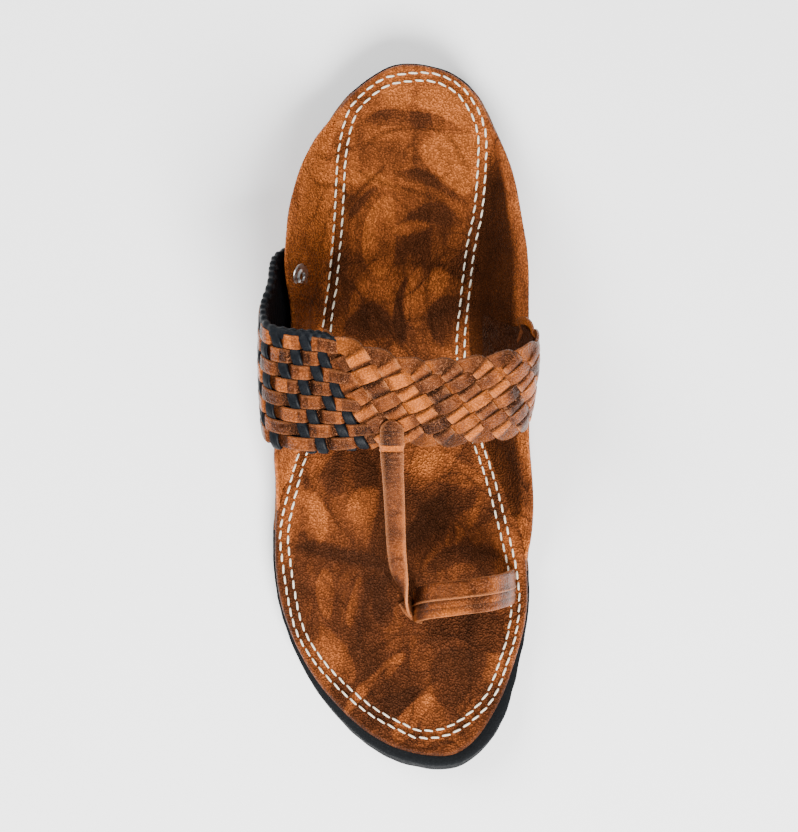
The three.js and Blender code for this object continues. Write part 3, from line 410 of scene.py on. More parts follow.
class Nodes:
    """Short hand for building a node tree."""

    def __init__(self, name):
        self.material = bpy.data.materials.new(name)
        self.material.use_nodes = True
        self.tree = self.material.node_tree
        self.shader = self.tree.nodes["Principled BSDF"]

    def add(self, kind, **values):
        node = self.tree.nodes.new(kind)
        for key, value in values.items():
            setattr(node, key, value)
        return node

    def link(self, a, b):
        self.tree.links.new(a, b)

    def put(self, socket, value):
        """Sets a socket to a number or a colour, or links an output to it."""
        if isinstance(value, (int, float)):
            socket.default_value = value
        elif isinstance(value, tuple):
            socket.default_value = (*value, 1)
        else:
            self.link(value, socket)

    def mapped(self, vector, turn, scale, location=(0, 0, 0)):
        """Coordinates turned about the vertical by some degrees, then scaled and moved."""
        node = self.add("ShaderNodeMapping")
        node.inputs["Location"].default_value = location
        node.inputs["Rotation"].default_value = (0, 0, math.radians(turn))
        node.inputs["Scale"].default_value = scale
        self.link(vector, node.inputs["Vector"])
        return node.outputs["Vector"]

    def place(self, turn=0, scale=(1, 1, 1)):
        return self.mapped(self.add("ShaderNodeTexCoord").outputs["Object"], turn, scale)

    def noise(self, scale, detail=2.0, rough=0.5, distortion=0.0, vector=None, output="Fac"):
        node = self.add("ShaderNodeTexNoise")
        for key, number in (("Scale", scale), ("Detail", detail), ("Roughness", rough),
                            ("Distortion", distortion)):
            node.inputs[key].default_value = number
        self.link(self.place() if vector is None else vector, node.inputs["Vector"])
        return node.outputs[output]

    def ramp(self, value, stops):
        node = self.add("ShaderNodeValToRGB")
        bar = node.color_ramp
        while len(bar.elements) < len(stops):
            bar.elements.new(0.5)
        for element, (place, colour) in zip(bar.elements, stops):
            element.position = place
            element.color = (*colour, 1)
        self.link(value, node.inputs["Fac"])
        return node.outputs["Color"]

    def level(self, value, low, high, out_low=0.0, out_high=1.0):
        node = self.add("ShaderNodeMapRange")
        for key, number in (("From Min", low), ("From Max", high), ("To Min", out_low),
                            ("To Max", out_high)):
            node.inputs[key].default_value = number
        self.link(value, node.inputs["Value"])
        return node.outputs["Result"]

    def math(self, operation, a, b):
        node = self.add("ShaderNodeMath", operation=operation)
        self.put(node.inputs[0], a)
        self.put(node.inputs[1], b)
        return node.outputs[0]

    def blend(self, factor, a, b, kind="MIX"):
        node = self.add("ShaderNodeMix", data_type="RGBA", blend_type=kind)
        self.put(node.inputs[0], factor)
        self.put(node.inputs[6], a)
        self.put(node.inputs[7], b)
        return node.outputs[2]

    def times(self, colour, factor):
        return self.blend(1.0, colour, factor, "MULTIPLY")

    def weigh(self, *pairs):
        """Sum of values, each times its weight."""
        total = None
        for value, weight in pairs:
            part = self.math("MULTIPLY", value, weight)
            total = part if total is None else self.math("ADD", total, part)
        return total

    def warped(self, scale, detail, amount):
        """Object coordinates moved about by a noise."""
        small = self.add("ShaderNodeVectorMath", operation="SCALE")
        small.inputs["Scale"].default_value = amount
        self.link(self.noise(scale, detail, output="Color"), small.inputs[0])
        moved = self.add("ShaderNodeVectorMath", operation="ADD")
        self.link(self.place(), moved.inputs[0])
        self.link(small.outputs[0], moved.inputs[1])
        return moved.outputs[0]

    def cells(self, feature, scale, vector):
        node = self.add("ShaderNodeTexVoronoi", feature=feature)
        node.inputs["Scale"].default_value = scale
        self.link(vector, node.inputs["Vector"])
        return node

    def split(self, colour):
        node = self.add("ShaderNodeSeparateColor")
        self.link(colour, node.inputs["Color"])
        return node.outputs

    def tone(self):
        return self.split(self.add("ShaderNodeVertexColor", layer_name="tone").outputs["Color"])

    def bump(self, height, strength, distance):
        node = self.add("ShaderNodeBump")
        node.inputs["Strength"].default_value = strength
        node.inputs["Distance"].default_value = distance
        self.link(height, node.inputs["Height"])
        return node.outputs["Normal"]

    def finish(self, colour, roughness, normal=None, **constants):
        self.put(self.shader.inputs["Base Color"], colour)
        self.put(self.shader.inputs["Roughness"], roughness)
        if normal is not None:
            self.link(normal, self.shader.inputs["Normal"])
        for key, value in constants.items():
            self.shader.inputs[key.replace("_", " ")].default_value = value
        return self.material


BRIGHT = (0.33, 0.09, 0.02)
ORANGE = (0.225, 0.06, 0.015)
TAN = (0.135, 0.037, 0.0105)
BROWN = (0.062, 0.0185, 0.007)
DARK = (0.018, 0.0065, 0.0033)
WARM = (1.0, 0.3, 0.1, 1.0)
PALE = (1.0, 0.36, 0.15, 1.0)


def grain_of(n, scale):
    """Pebbled grain: 1 on the pebbles, 0 in the furrows between them."""
    cells = n.cells("SMOOTH_F1", scale, n.warped(scale * 0.4, 2.0, 0.9 / scale))
    cells.inputs["Smoothness"].default_value = 0.35
    return n.level(cells.outputs["Distance"], 0.12, 0.62, 1.0, 0.0)


def lobes_of(n, scale, turn, seed):
    """Smoky lobes: soft inside, crisp where one lobe lies over the next."""
    moved = n.mapped(n.warped(24, 1.5, 0.05), turn, scale, (seed, seed * 0.7, seed * 0.3))
    cells = n.cells("F1", 1.0, moved)
    inside = n.level(cells.outputs["Distance"], 0.05, 0.75)
    border = n.cells("DISTANCE_TO_EDGE", 1.0, moved)
    rim = n.level(border.outputs["Distance"], 0.0, 0.035, 1.0, 0.0)
    return n.weigh((n.split(cells.outputs["Color"])[0], 0.3), (inside, 0.72)), rim


def leather(name, shade=1.0, rough=0.44, offset=0.225):
    """Marbled two-tone leather with a pebbled grain. tone: red lightens (marbling, and painted light on
    the walls), green paints the shade of thin creases, blue paints shade.
    """
    n = Nodes(name)
    lobes, rim = lobes_of(n, (46, 26, 34), 34, 0.4)
    second, fold = lobes_of(n, (24, 50, 36), -28, 3.1)
    cloud = n.noise(58, 4.0, 0.6, 0.8)
    drift = n.level(n.noise(1.0, 3.0, 0.55, 1.0, n.place(40, (95, 24, 50))), 0.3, 0.7)
    lighter, crease_shade, shadow = n.tone()[0], n.tone()[1], n.tone()[2]
    mixed = n.weigh((lobes, 0.22), (second, 0.15), (cloud, 0.13), (drift, 0.13), (lighter, -0.17))
    mixed = n.math("ADD", mixed, offset)
    base = n.ramp(mixed, [(0.4, BRIGHT), (0.48, ORANGE), (0.56, TAN), (0.64, BROWN),
                          (0.78, (0.03, 0.0105, 0.005))])
    streak = n.level(n.noise(1.0, 4.0, 0.6, 1.2, n.place(34, (210, 30, 90))), 0.54, 0.72)
    gate = n.level(n.noise(15, 2.0, 0.5, 0.6), 0.46, 0.62)
    colour = n.blend(n.math("MULTIPLY", n.math("MULTIPLY", streak, gate), 0.4), base, DARK)
    # Painted shade along thin creases.
    colour = n.blend(crease_shade, colour, DARK)
    lines = n.math("MULTIPLY", n.math("ADD", rim, fold), n.level(n.noise(31, 2.0, 0.5), 0.45, 0.6))
    colour = n.blend(n.math("MULTIPLY", lines, 0.5), colour, DARK)
    colour = n.times(colour, n.level(n.noise(240, 3.0, 0.6), 0.3, 0.7, 0.82, 1.16))
    grain = grain_of(n, 1200)
    wrinkle = n.noise(1.0, 2.0, 0.55, 0.6, n.place(12, (1400, 520, 800)))
    furrow = n.level(n.weigh((grain, 0.6), (wrinkle, 0.6)), 0.25, 0.75)
    # Darker furrows, lighter pebbles: the grain's own colour, with painted shade in the furrows.
    colour = n.times(colour, n.level(furrow, 0.0, 0.8, 0.45, 1.25))
    # Overall lightness; the walls' copy is lighter, as painted light.
    colour = n.times(colour, (shade, shade, shade))
    colour = n.blend(shadow, colour, (0.009, 0.003, 0.0014))
    height = n.math("ADD", furrow, n.math("MULTIPLY", n.noise(1900, 2.0, 0.6), 0.25))
    normal = n.bump(height, 0.95, 0.0006)
    gloss = n.level(cloud, 0.3, 0.7, rough - 0.06, rough + 0.1)
    return n.finish(colour, gloss, normal, Specular_IOR_Level=0.2, Specular_Tint=WARM)


def strip_leather(name):
    """Leather of the woven strips. tone: red is the strip's tint, green its paler cut edge (paler still
    on falling strips as painted light), blue darkens it, mostly as painted shade where a strip runs
    under others.
    """
    n = Nodes(name)
    tint, edge, deep = n.tone()[0], n.tone()[1], n.tone()[2]
    patch = n.noise(120, 3.0, 0.6, 0.9)
    mixed = n.weigh((patch, 0.6), (tint, 0.62))
    base = n.ramp(mixed, [(0.3, (0.02, 0.0062, 0.0028)), (0.48, (0.075, 0.021, 0.007)),
                          (0.66, (0.19, 0.048, 0.011)), (0.84, (0.4, 0.1, 0.014))])
    grain = grain_of(n, 1250)
    colour = n.times(base, n.level(grain, 0.0, 0.8, 0.55, 1.15))
    colour = n.blend(n.math("MULTIPLY", edge, 0.8), colour, (0.42, 0.15, 0.055))
    # Painted shade where the tone's blue is high.
    colour = n.blend(n.math("MULTIPLY", deep, 0.88), colour, (0.006, 0.0025, 0.0015))
    height = n.math("ADD", grain, n.math("MULTIPLY", n.noise(1900, 2.0, 0.6), 0.4))
    normal = n.bump(height, 0.9, 0.0003)
    return n.finish(colour, n.level(patch, 0.3, 0.7, 0.24, 0.36), normal, Specular_IOR_Level=0.24,
                    Specular_Tint=PALE)


def black_cord(name):
    n = Nodes(name)
    fibre = n.noise(1500, 3.0, 0.6, 0.2)
    colour = n.ramp(fibre, [(0.3, (0.0012, 0.0016, 0.0024)), (0.7, (0.0035, 0.0048, 0.007))])
    normal = n.bump(fibre, 0.5, 0.0002)
    return n.finish(colour, n.level(fibre, 0.3, 0.7, 0.4, 0.55), normal, Specular_IOR_Level=0.09)


def foam(name):
    n = Nodes(name)
    pores = n.noise(2200, 3.0, 0.7)
    coarse = n.noise(500, 2.0, 0.5)
    colour = n.ramp(pores, [(0.3, (0.003, 0.0033, 0.0037)), (0.62, (0.007, 0.008, 0.009)),
                            (0.75, (0.018, 0.02, 0.024))])
    height = n.math("ADD", pores, n.math("MULTIPLY", coarse, 0.8))
    return n.finish(colour, n.level(coarse, 0.3, 0.7, 0.72, 0.9), n.bump(height, 0.7, 0.0003),
                    Specular_IOR_Level=0.08)


def raw_leather(name):
    n = Nodes(name)
    fibre = n.noise(900, 4.0, 0.65)
    colour = n.ramp(fibre, [(0.3, (0.07, 0.025, 0.01)), (0.55, (0.17, 0.07, 0.03)),
                            (0.75, (0.3, 0.15, 0.075))])
    return n.finish(colour, 0.8, n.bump(fibre, 0.5, 0.0002), Specular_IOR_Level=0.25)


def thread(name):
    n = Nodes(name)
    ply = n.noise(2600, 2.0, 0.6)
    colour = n.ramp(ply, [(0.3, (0.36, 0.28, 0.17)), (0.5, (0.7, 0.62, 0.48)),
                          (0.7, (0.85, 0.8, 0.68))])
    return n.finish(colour, 0.6, n.bump(ply, 0.5, 0.00015), Specular_IOR_Level=0.35)


def silver(name):
    n = Nodes(name)
    wear = n.noise(420, 4.0, 0.6)
    colour = n.ramp(wear, [(0.3, (0.42, 0.42, 0.41)), (0.6, (0.7, 0.7, 0.69))])
    return n.finish(colour, n.level(wear, 0.3, 0.7, 0.22, 0.4), n.bump(wear, 0.12, 0.0001),
                    Metallic=1.0)


FOOTBED_LEATHER = leather("footbed_leather", 1.0)
# The walls' leather is a lighter copy of the footbed's: painted light.
WALL_LEATHER_LIT = leather("wall_leather_lit", 1.2, 0.4, 0.17)
STRAP_LEATHER = strip_leather("strap_leather")
CORD = black_cord("black_cord")
FOAM = foam("foam")
EDGE = raw_leather("raw_edge")
THREAD = thread("thread")
SILVER = silver("silver")

# Outsole and heel lift

AROUND = 360
RAGGED_CUT = 0.12
around = (np.arange(AROUND) + 0.5) / AROUND


def sole_ring(inset, h):
    smooth = on_sole(*plan(around, inset), h)
    return on_sole(*plan(around, inset + RAGGED_CUT * wobble(smooth, 9, 3)), h)


def make_outsole():
    rows = [(1.4, 0.0), (0.5, 0.15), (0.1, 0.6), (0.0, 1.4), (0.05, 3.0), (0.08, 4.6), (0.03, 6.2),
            (0.0, 7.1), (0.15, 7.7), (0.6, 8.0), (1.6, 8.02)]
    grid = np.stack([sole_ring(inset, h) for inset, h in rows])
    obj = closed_body("outsole_foam", grid, FOAM, 50)
    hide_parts("outsole")


def make_heel_lift():
    breast = round_at("medial", HEEL_LENGTH)
    t = np.linspace(-breast, breast, 160)
    rows = [(1.2, 0.0), (0.4, 0.15), (0.08, 0.6), (0.0, 1.4), (0.04, 3.4), (0.0, 5.4), (0.2, 5.7)]
    rings = []
    for inset, z in rows:
        x, u = plan(t, inset + 0.08 * wobble(np.stack([t * 300, 0 * t], -1), 9, 5))
        u = np.minimum(u, HEEL_LENGTH - inset)
        rings.append(np.stack([x, -u, 0 * u + z], -1) + SHIFT)
    obj = closed_body("heel_lift_foam", np.stack(rings), FOAM, 35)
    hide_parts("heel_lift")


# Side walls


def rise_at(wall, u):
    return WALLS[wall]["rise"] * lookup(WALLS[wall]["rows"], 1, u / LENGTH)


def wall_face(wall, u, up):
    rise = rise_at(wall, u)
    lean = WALLS[wall]["lean"] * lookup(WALLS[wall]["rows"], 2, u / LENGTH)
    t = np.maximum(up, 0) / rise
    slope = lean * WALL_FLARE / rise * np.maximum(t, 1e-6) ** (WALL_FLARE - 1)
    return lean * t**WALL_FLARE - WALL_SETBACK, slope


def wall_point(wall, u, up, depth):
    out, slope = wall_face(wall, u, up)
    tilt = np.arctan(slope)
    x, v = plan(round_at(wall, u), depth * np.cos(tilt) - out)
    return over(x, v, up + depth * np.sin(tilt))


def wall_sheet(wall, stations, ups, depths):
    """Grid of points: one row for each station, one column for each (height, depth) pair."""
    return np.stack([wall_point(wall, stations, up, depth) for up, depth in zip(ups, depths)], 1)


def wall_piece(wall, kind, grid, material, smooth=40, colour=None):
    parts = Parts()
    parts.add(grid, colour, flip=wall == "lateral")
    return parts.build(wall + kind, material, smooth)


def make_wall(wall, node):
    rows = WALLS[wall]["rows"]
    u = np.linspace(rows[0][0] * LENGTH - 2, rows[-1][0] * LENGTH + 2, 220)
    rise = rise_at(wall, u)
    top = np.maximum(rise - PANEL_DROP, 0.6 * rise)
    step = np.minimum(PANEL, 0.4 * rise)
    soft = 0.25 * wobble(np.stack([u, 0 * u], -1), 34, 11)
    shares = np.linspace(0, 1, 13)
    ups = [mix(CLEARANCE, top, s) for s in shares]
    bulge = [-0.35 * math.sin(math.pi * s) + soft * math.sin(math.pi * s) for s in shares]
    wall_piece(wall, "_panel", wall_sheet(wall, u, ups, bulge), WALL_LEATHER_LIT)
    edge_ups = [top - 0.02, top + 0.18, top + 0.2, top + 0.1]
    edge_depths = [0 * u, 0.08 + 0 * u, 0.8 * step, 1.2 * step]
    wall_piece(wall, "_raw_edge", wall_sheet(wall, u, edge_ups, edge_depths), EDGE, 60)
    angle = np.linspace(-0.5, math.pi, 9)
    radius = 0.5 * (WALL - step)
    middle = 0.5 * (WALL + step)
    crest = np.maximum(rise - radius, top + 0.1)
    ups = [top - 0.2] + [crest + radius * math.sin(a) * 1.15 for a in angle]
    depths = [step] + [middle - radius * math.cos(a) for a in angle]
    floor_up = FOOTBED_THICK + CLEARANCE + 0.1
    foot = np.minimum(floor_up + 5.0, 0.55 * top + 0.5)
    for s in np.linspace(0.08, 1, 11):
        ups.append(mix(crest, foot, s))
        sag = wobble(np.stack([u, 0 * u + 30 * s], -1), 40, 23)
        depths.append(WALL + 0.5 * math.sin(math.pi * s) * sag)
    sheet = wall_sheet(wall, u, ups, depths)
    slope = wall_face(wall, u, foot)[1]
    low = np.maximum(floor_up - WALL * np.sin(np.arctan(slope)), 0.1)
    corner = wall_point(wall, u, np.minimum(low, foot), WALL)
    end_x, end_u = plan(round_at(wall, u), WALL_SETBACK + WALL + 1.3)
    end = over(end_x, end_u, np.minimum(floor_up - 0.06, foot))
    curve = [sheet]
    for s in np.linspace(0.15, 1, 8):
        curve.append((sheet[:, -1] * (1 - s) ** 2 + corner * 2 * s * (1 - s) + end * s**2)[:, None])
    whole = np.concatenate(curve, 1)
    down = np.linalg.norm(whole - whole[:, 6:7], axis=-1) * (np.arange(whole.shape[1]) > 6)
    # Painted shade on the lining's inner face: from 4 mm under the rim downwards, fading out towards
    # the heel.
    behind = smoothstep((u - 24) / 26)[:, None]
    deep = WALLS[wall]["shade"] * smoothstep((down - 4.0) / 5) * behind
    # Painted light: the lining's marbling is lightened by the wall's share.
    light = marbling(whole[..., 0], whole[..., 1]) + WALLS[wall]["lighter"]
    colour = np.stack([light, 0 * deep, deep], -1)
    obj = wall_piece(wall, "_lining", whole, WALL_LEATHER_LIT, 60, colour)
    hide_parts(node)


# Footbed

STITCH_LOOP = np.array(STITCH_ROW)


def stitch_line(count, inward):
    t = np.linspace(0, 1, count, endpoint=False)
    p = closed_curve(STITCH_LOOP, t)
    along = unit(closed_curve(STITCH_LOOP, t + 2e-3) - closed_curve(STITCH_LOOP, t - 2e-3))
    return p + np.stack([-along[:, 1], along[:, 0]], -1) * inward


STITCH_DENSE = stitch_line(1400, 0.0)


def stitch_depth(x, u):
    """Distance in from the outer stitch row, negative outside it."""
    flat = np.stack([x.ravel(), u.ravel()], -1)
    best = np.full(len(flat), 1e9)
    near = np.zeros(len(flat), int)
    for k in range(0, len(STITCH_DENSE), 2):
        d = ((flat - STITCH_DENSE[k]) ** 2).sum(-1)
        closer = d < best
        best[closer] = d[closer]
        near[closer] = k
    ahead = STITCH_DENSE[(near + 2) % len(STITCH_DENSE)] - STITCH_DENSE[near]
    off = flat - STITCH_DENSE[near]
    side = np.sign(-ahead[:, 1] * off[:, 0] + ahead[:, 0] * off[:, 1])
    return (np.sqrt(best) * side).reshape(x.shape)


# Marbling seen from above: x, y, direction in degrees, length, width, lighter (+) or darker (-)
PATCHES = [
    (17, 123, -20, 19, 11, 0.9), (-3, 125, 10, 22, 10, 0.45), (20, 100, -45, 28, 18, 1.0),
    (-6, 103, 0, 20, 15, -0.45), (-10, 93, -12, 24, 5, 0.6), (-8, 71, 82, 36, 14, 0.95),
    (4, 74, 15, 13, 6, 0.9), (6, 48, 88, 26, 9, 0.6), (16, 54, 60, 13, 9, 0.5),
    (-16, 45, 70, 15, 8, 0.4), (6, 116, -6, 44, 7, -0.8), (13, 91, -22, 34, 6, -0.8),
    (-15, 84, 52, 18, 4, -0.7), (15, 79, -8, 26, 8, -0.6), (1, 42, 90, 30, 5, -1.0),
    (-11, 37, 0, 24, 15, -0.8), (17, 37, 80, 22, 13, -0.7), (-26, 62, 80, 30, 7, -0.2),
    (-20, -22, -10, 26, 20, -0.7), (-33, -39, -62, 26, 9, 0.8), (-14, -36, 80, 17, 12, 0.6),
    (10, -41, 50, 26, 8, -0.8), (18, -21, -10, 30, 13, 0.7), (34, -38, 70, 28, 14, 0.35),
    (23, -44, 58, 22, 10, 0.6),
    (-22, -55, -10, 44, 7, -0.9), (24, -56, 10, 34, 9, -0.6), (-29, -71, 84, 22, 7, 0.7),
    (-18, -73, 80, 22, 5, 0.6), (-6, -72, 84, 26, 9, -0.8), (-24, -95, -60, 26, 10, 0.55),
    (-11, -106, 42, 38, 7, 0.95), (-4, -115, 42, 30, 8, -0.7), (4, -118, 50, 24, 9, 0.8),
    (22, -100, 50, 30, 20, -0.6), (30, -84, 20, 22, 10, 0.2), (14, -128, 10, 22, 8, 0.4),
    (-34, 98, 75, 14, 6, 1.2), (-29, 110, 65, 30, 8, 0.8), (-36, 82, 70, 12, 7, 0.7),
    (-38, 62, 80, 26, 12, -0.3), (-36, 40, 80, 22, 12, -0.2), (-45, -50, 84, 60, 8, 0.5),
]
HEEL_LIGHTER = 0.65
TOES_DARKER = 0.3


def turned_by(degrees, x, y):
    c, s = math.cos(math.radians(degrees)), math.sin(math.radians(degrees))
    return x * c + y * s, -x * s + y * c


def marbling(x, y):
    """Sum of the patches: each is crisp along one long side and fades out on the other."""
    total = 0 * x
    bend = np.stack([x, y], -1)
    x = x + 1.6 * wobble(bend, 30, 31)
    y = y + 1.6 * wobble(bend, 30, 37)
    for middle_x, middle_y, turn, length, wide, amount in PATCHES:
        p, q = turned_by(turn, x - middle_x, y - middle_y)
        p = p / (0.5 * length)
        q = q / (0.5 * wide)
        far = 1 - p**2 - (q + 0.35 * p**2) ** 2
        crisp = smoothstep(far / 0.28)
        total += amount * crisp * (0.55 + 0.45 * smoothstep((q + 1.2) / 1.6))
    return np.clip(total, -1.1, 1.2)


# Painted shade: thin dark lines along creases, seen from above: points x, y
CREASE_SHADE_LINES = [
    [(-15, 105), (-7, 111), (4, 113), (18, 111), (27, 98)], [(-18, 98), (-8, 92), (4, 89), (18, 84)],
    [(-2, 60), (8, 60), (14, 58)], [(12, 60), (20, 58), (27, 51)], [(12, 60), (11, 46), (14, 30)],
    [(-37, -25), (-30, -33), (-23, -45)], [(3, -48), (10, -38), (20, -30), (31, -22)],
    [(-40, -52), (-24, -56), (-6, -59)], [(-16, -97), (-6, -90), (2, -84)],
    [(-32, -62), (-12, -84), (14, -86)], [(-3, -119), (6, -110), (14, -104)],
    [(-2, 50), (1, 40), (1, 28)], [(-20, 84), (-12, 92), (-6, 98)],
]


def crease_shade_lines(x, y):
    total = 0 * x
    for points in CREASE_SHADE_LINES:
        line = open_curve(points, np.linspace(0, 1, 40))
        best = np.full(x.shape, 1e9)
        for line_x, line_y in line:
            best = np.minimum(best, (x - line_x) ** 2 + (y - line_y) ** 2)
        total = np.maximum(total, 0.7 * np.exp(-best / 0.6))
    return total


# Soft creases of the footbed: across, along, direction in degrees, length, width, depth
CREASES = [
    (-16, 178, 62, 34, 3.0, 0.5), (8, 168, 118, 30, 3.5, 0.45), (-24, 205, 30, 26, 3.0, 0.4),
    (22, 150, 75, 26, 3.0, 0.35), (-6, 60, 20, 26, 3.5, 0.35), (10, 86, 140, 22, 3.0, 0.3),
    (14, 216, 150, 22, 3.0, 0.35), (-30, 160, 100, 24, 2.6, 0.35),
]


def crease_height(x, u):
    total = 0 * x
    for across, along, turn, length, wide, deep in CREASES:
        p, q = turned_by(turn, x - across, u - along)
        q = q + 2.5 * np.sin(p / length * 2.2)
        fade = np.exp(-((p / (0.5 * length)) ** 4))
        ridge = np.exp(-((q / wide) ** 2))
        trough = 0.8 * np.exp(-(((q - 1.6 * wide) / (1.4 * wide)) ** 2))
        total += fade * deep * (ridge - trough)
    return total


def footbed_edge(t):
    """How far in the footbed's edge lies, and how far it has run into a side wall (0 to 1)."""
    u = plan(t)[1]
    inset = np.zeros_like(t)
    joined = np.zeros_like(t)
    for column, wall, mask in ((1, "medial", t < 0.5), (2, "lateral", t >= 0.5)):
        a, b, c, d = (share * LENGTH for share in WALL_JOINS[wall])
        inside = smoothstep((u - a) / (b - a)) * smoothstep((d - u) / (d - c))
        open_inset = FOOTBED_SETBACK * lookup(FOOTBED_ROWS, column, u / LENGTH)
        inset = np.where(mask, mix(open_inset, WALL_SETBACK + 0.6 * WALL, inside), inset)
        joined = np.where(mask, inside, joined)
    return inset, joined


def make_footbed():
    base = OUTSOLE_THICK + CLEARANCE
    n = 480
    t = (np.arange(n) + 0.5) / n
    inset, joined = footbed_edge(t)
    roll = [(0.7, 0.0), (0.2, 0.12), (0.0, 0.3), (-0.05, 0.5), (0.05, 0.7), (0.35, 0.86), (0.9, 0.96),
            (1.7, 1.0)]
    rings = []
    for extra, h in roll:
        x, u = plan(t, inset + extra)
        high = mix(h, max(h, 0.2) ** 0.1, joined) if h > 0.2 else h
        rings.append(on_sole(x, u, base + high * FOOTBED_THICK))
    edge_x, edge_u = plan(t, inset + 1.7)
    mid_x = 0.5 * (edge_x + edge_x[::-1])
    mid_u = 26 + plan(t)[1] / LENGTH * (LENGTH - 56)
    mid_u = 0.5 * (mid_u + mid_u[::-1])
    mid_x = np.interp(mid_u, 0.5 * (edge_u + edge_u[::-1])[: n // 2], mid_x[: n // 2])
    for s in np.linspace(0, 1, 64)[1:] ** 1.15:
        x = mix(edge_x, mid_x, s)
        u = mix(edge_u, mid_u, s)
        depth = stitch_depth(x, u)
        groove = -0.42 * np.exp(-(((depth - ROW_STEP / 2) / 1.5) ** 4))
        pucker = 0.12 * np.cos(depth * 2.4) * np.exp(-((depth / 6) ** 2))
        inner = smoothstep((depth - 3) / 6)
        soft = 0.3 * inner * wobble(np.stack([x, u], -1), 46, 2) + inner * crease_height(x, u)
        rings.append(on_sole(x, u, base + FOOTBED_THICK + groove + pucker + soft))
    grid = np.stack(rings)
    x, y = grid[..., 0], grid[..., 1]
    tone = np.zeros(grid.shape)
    tone[..., 0] = marbling(x, y)
    tone[..., 0] += HEEL_LIGHTER * smoothstep((y - 60) / 50)
    tone[..., 0] -= TOES_DARKER * smoothstep((-15 - y) / 20)
    # Green: painted shade along thin creases.
    tone[..., 1] = crease_shade_lines(x, y)
    obj = closed_body("footbed_top", grid, FOOTBED_LEATHER, 60, tone.reshape(-1, 3))
    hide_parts("footbed")


def capsule(centre, along, up, length, wide, high):
    """One stitch: a rounded thread lying along a direction."""
    side = np.cross(along, up)
    angles = circle(8)
    rows = []
    for s in (-1.0, -0.93, -0.75, -0.3, 0.3, 0.75, 0.93, 1.0):
        r = math.sqrt(max(0.02, 1 - abs(s) ** 5))
        lift = -0.35 * high * s**4
        rows.append([centre + along * s * length / 2 + side * math.cos(a) * wide / 2 * r
                     + up * (math.sin(a) * high / 2 * r + lift) for a in angles])
    return np.array(rows)


def make_stitches():
    parts = Parts()
    for inward, phase in ((0.0, 0.0), (ROW_STEP, 0.5)):
        loop = stitch_line(2400, inward)
        closed = np.vstack([loop, loop[:1]])
        run = run_along(closed)
        count = int(round(run[-1] / STITCH_PITCH))
        for k in range(count):
            s = (k + phase) * run[-1] / count % run[-1]
            here = [np.interp(s + d, run, closed[:, i]) for d in (-1.2, 0, 1.2) for i in (0, 1)]
            top = OUTSOLE_THICK + CLEARANCE + FOOTBED_THICK
            a, p, b = (on_sole(here[2 * i], here[2 * i + 1], top + 0.12) for i in range(3))
            pitch = float(profile(here[3])[2])
            up = np.array([0, math.sin(pitch), math.cos(pitch)])
            along = unit(b - a)
            skew = unit(along + 0.1 * np.cross(along, up) * rng.uniform(0.6, 1.4))
            length = STITCH_LENGTH + rng.uniform(-0.2, 0.2)
            stitch = capsule(p, skew, up, length, THREAD_WIDTH, THREAD_HEIGHT)
            parts.add(stitch, close_cols=True, cap=True)
    parts.build("stitches", THREAD, 80)


# The woven band

RUNNERS = 16
VS = np.linspace(0, 1, 601)


def row_point(row, w):
    place, rear_up, front_up, rear_at, front_at = row
    at = mix(rear_at, front_at, w) * LENGTH
    up = mix(rear_up, front_up, w)
    if not isinstance(place, str):
        return plumb(mix(*place, w) * BAND_SPAN / 2, at, up * BAND_RISE)
    gap = WALL_GAP + BAND_THICK / 2
    depth = WALL + gap if place == "medial" else -gap
    return wall_point(place, np.array(at), up * WALLS[place]["rise"], depth)


MIDDLE = np.stack([
    open_curve([row_point(row, k / RUNNERS) for row in BAND_ROWS], VS) for k in range(RUNNERS + 1)
], 1)
ALONG = np.gradient(MIDDLE, axis=0)
DOWN = np.gradient(MIDDLE, axis=1)
NORMAL = unit(np.cross(DOWN, ALONG))
ARC = run_along(MIDDLE[:, RUNNERS // 2])
BAND_LENGTH = float(ARC[-1])
WIDTHS = np.linalg.norm(MIDDLE[:, 0] - MIDDLE[:, -1], axis=1)


def sample(table, v, w):
    """Bilinear value of a band table, continued straight past the band's edges."""
    i = np.clip(v * (len(VS) - 1), 0, len(VS) - 1.001)
    j = w * RUNNERS
    i0 = np.floor(i).astype(int)
    j0 = np.clip(np.floor(j), 0, RUNNERS - 1).astype(int)
    fi = (i - i0)[..., None]
    fj = (j - j0)[..., None]
    near = table[i0, j0] * (1 - fi) + table[i0 + 1, j0] * fi
    far = table[i0, j0 + 1] * (1 - fi) + table[i0 + 1, j0 + 1] * fi
    return near * (1 - fj) + far * fj


def band_point(a, b, out):
    a, b, out = np.broadcast_arrays(*(np.asarray(q, float) for q in (a, b, out)))
    v = np.interp(a, ARC, VS)
    w = 0.5 + b / np.interp(v, VS, WIDTHS)
    on_wall = smoothstep((np.minimum(v, 1 - v) - 0.16) / 0.06)
    inside = np.clip(w, 0, 1)
    crown = BAND_CROWN * on_wall * 4 * inside * (1 - inside)
    return sample(MIDDLE, v, w) + unit(sample(NORMAL, v, inside)) * (out + crown)[..., None]


def band_step(a, b, out, along, across):
    return band_point(a + along, b + across, out) - band_point(a - along, b - across, out)


def band_width(a):
    return np.interp(np.interp(a, ARC, VS), VS, WIDTHS)


SECTION = [(-1.0, -0.3), (-1.0, 0.25), (-0.93, 0.5), (-0.6, 0.56), (-0.2, 0.6), (0.2, 0.6), (0.6, 0.56),
           (0.93, 0.5), (1.0, 0.25), (1.0, -0.3), (0.6, -0.5), (-0.6, -0.5)]
CUT_EDGE = [1, 1, 0.35, 0, 0, 0, 0, 0.35, 1, 1, 0.2, 0.2]


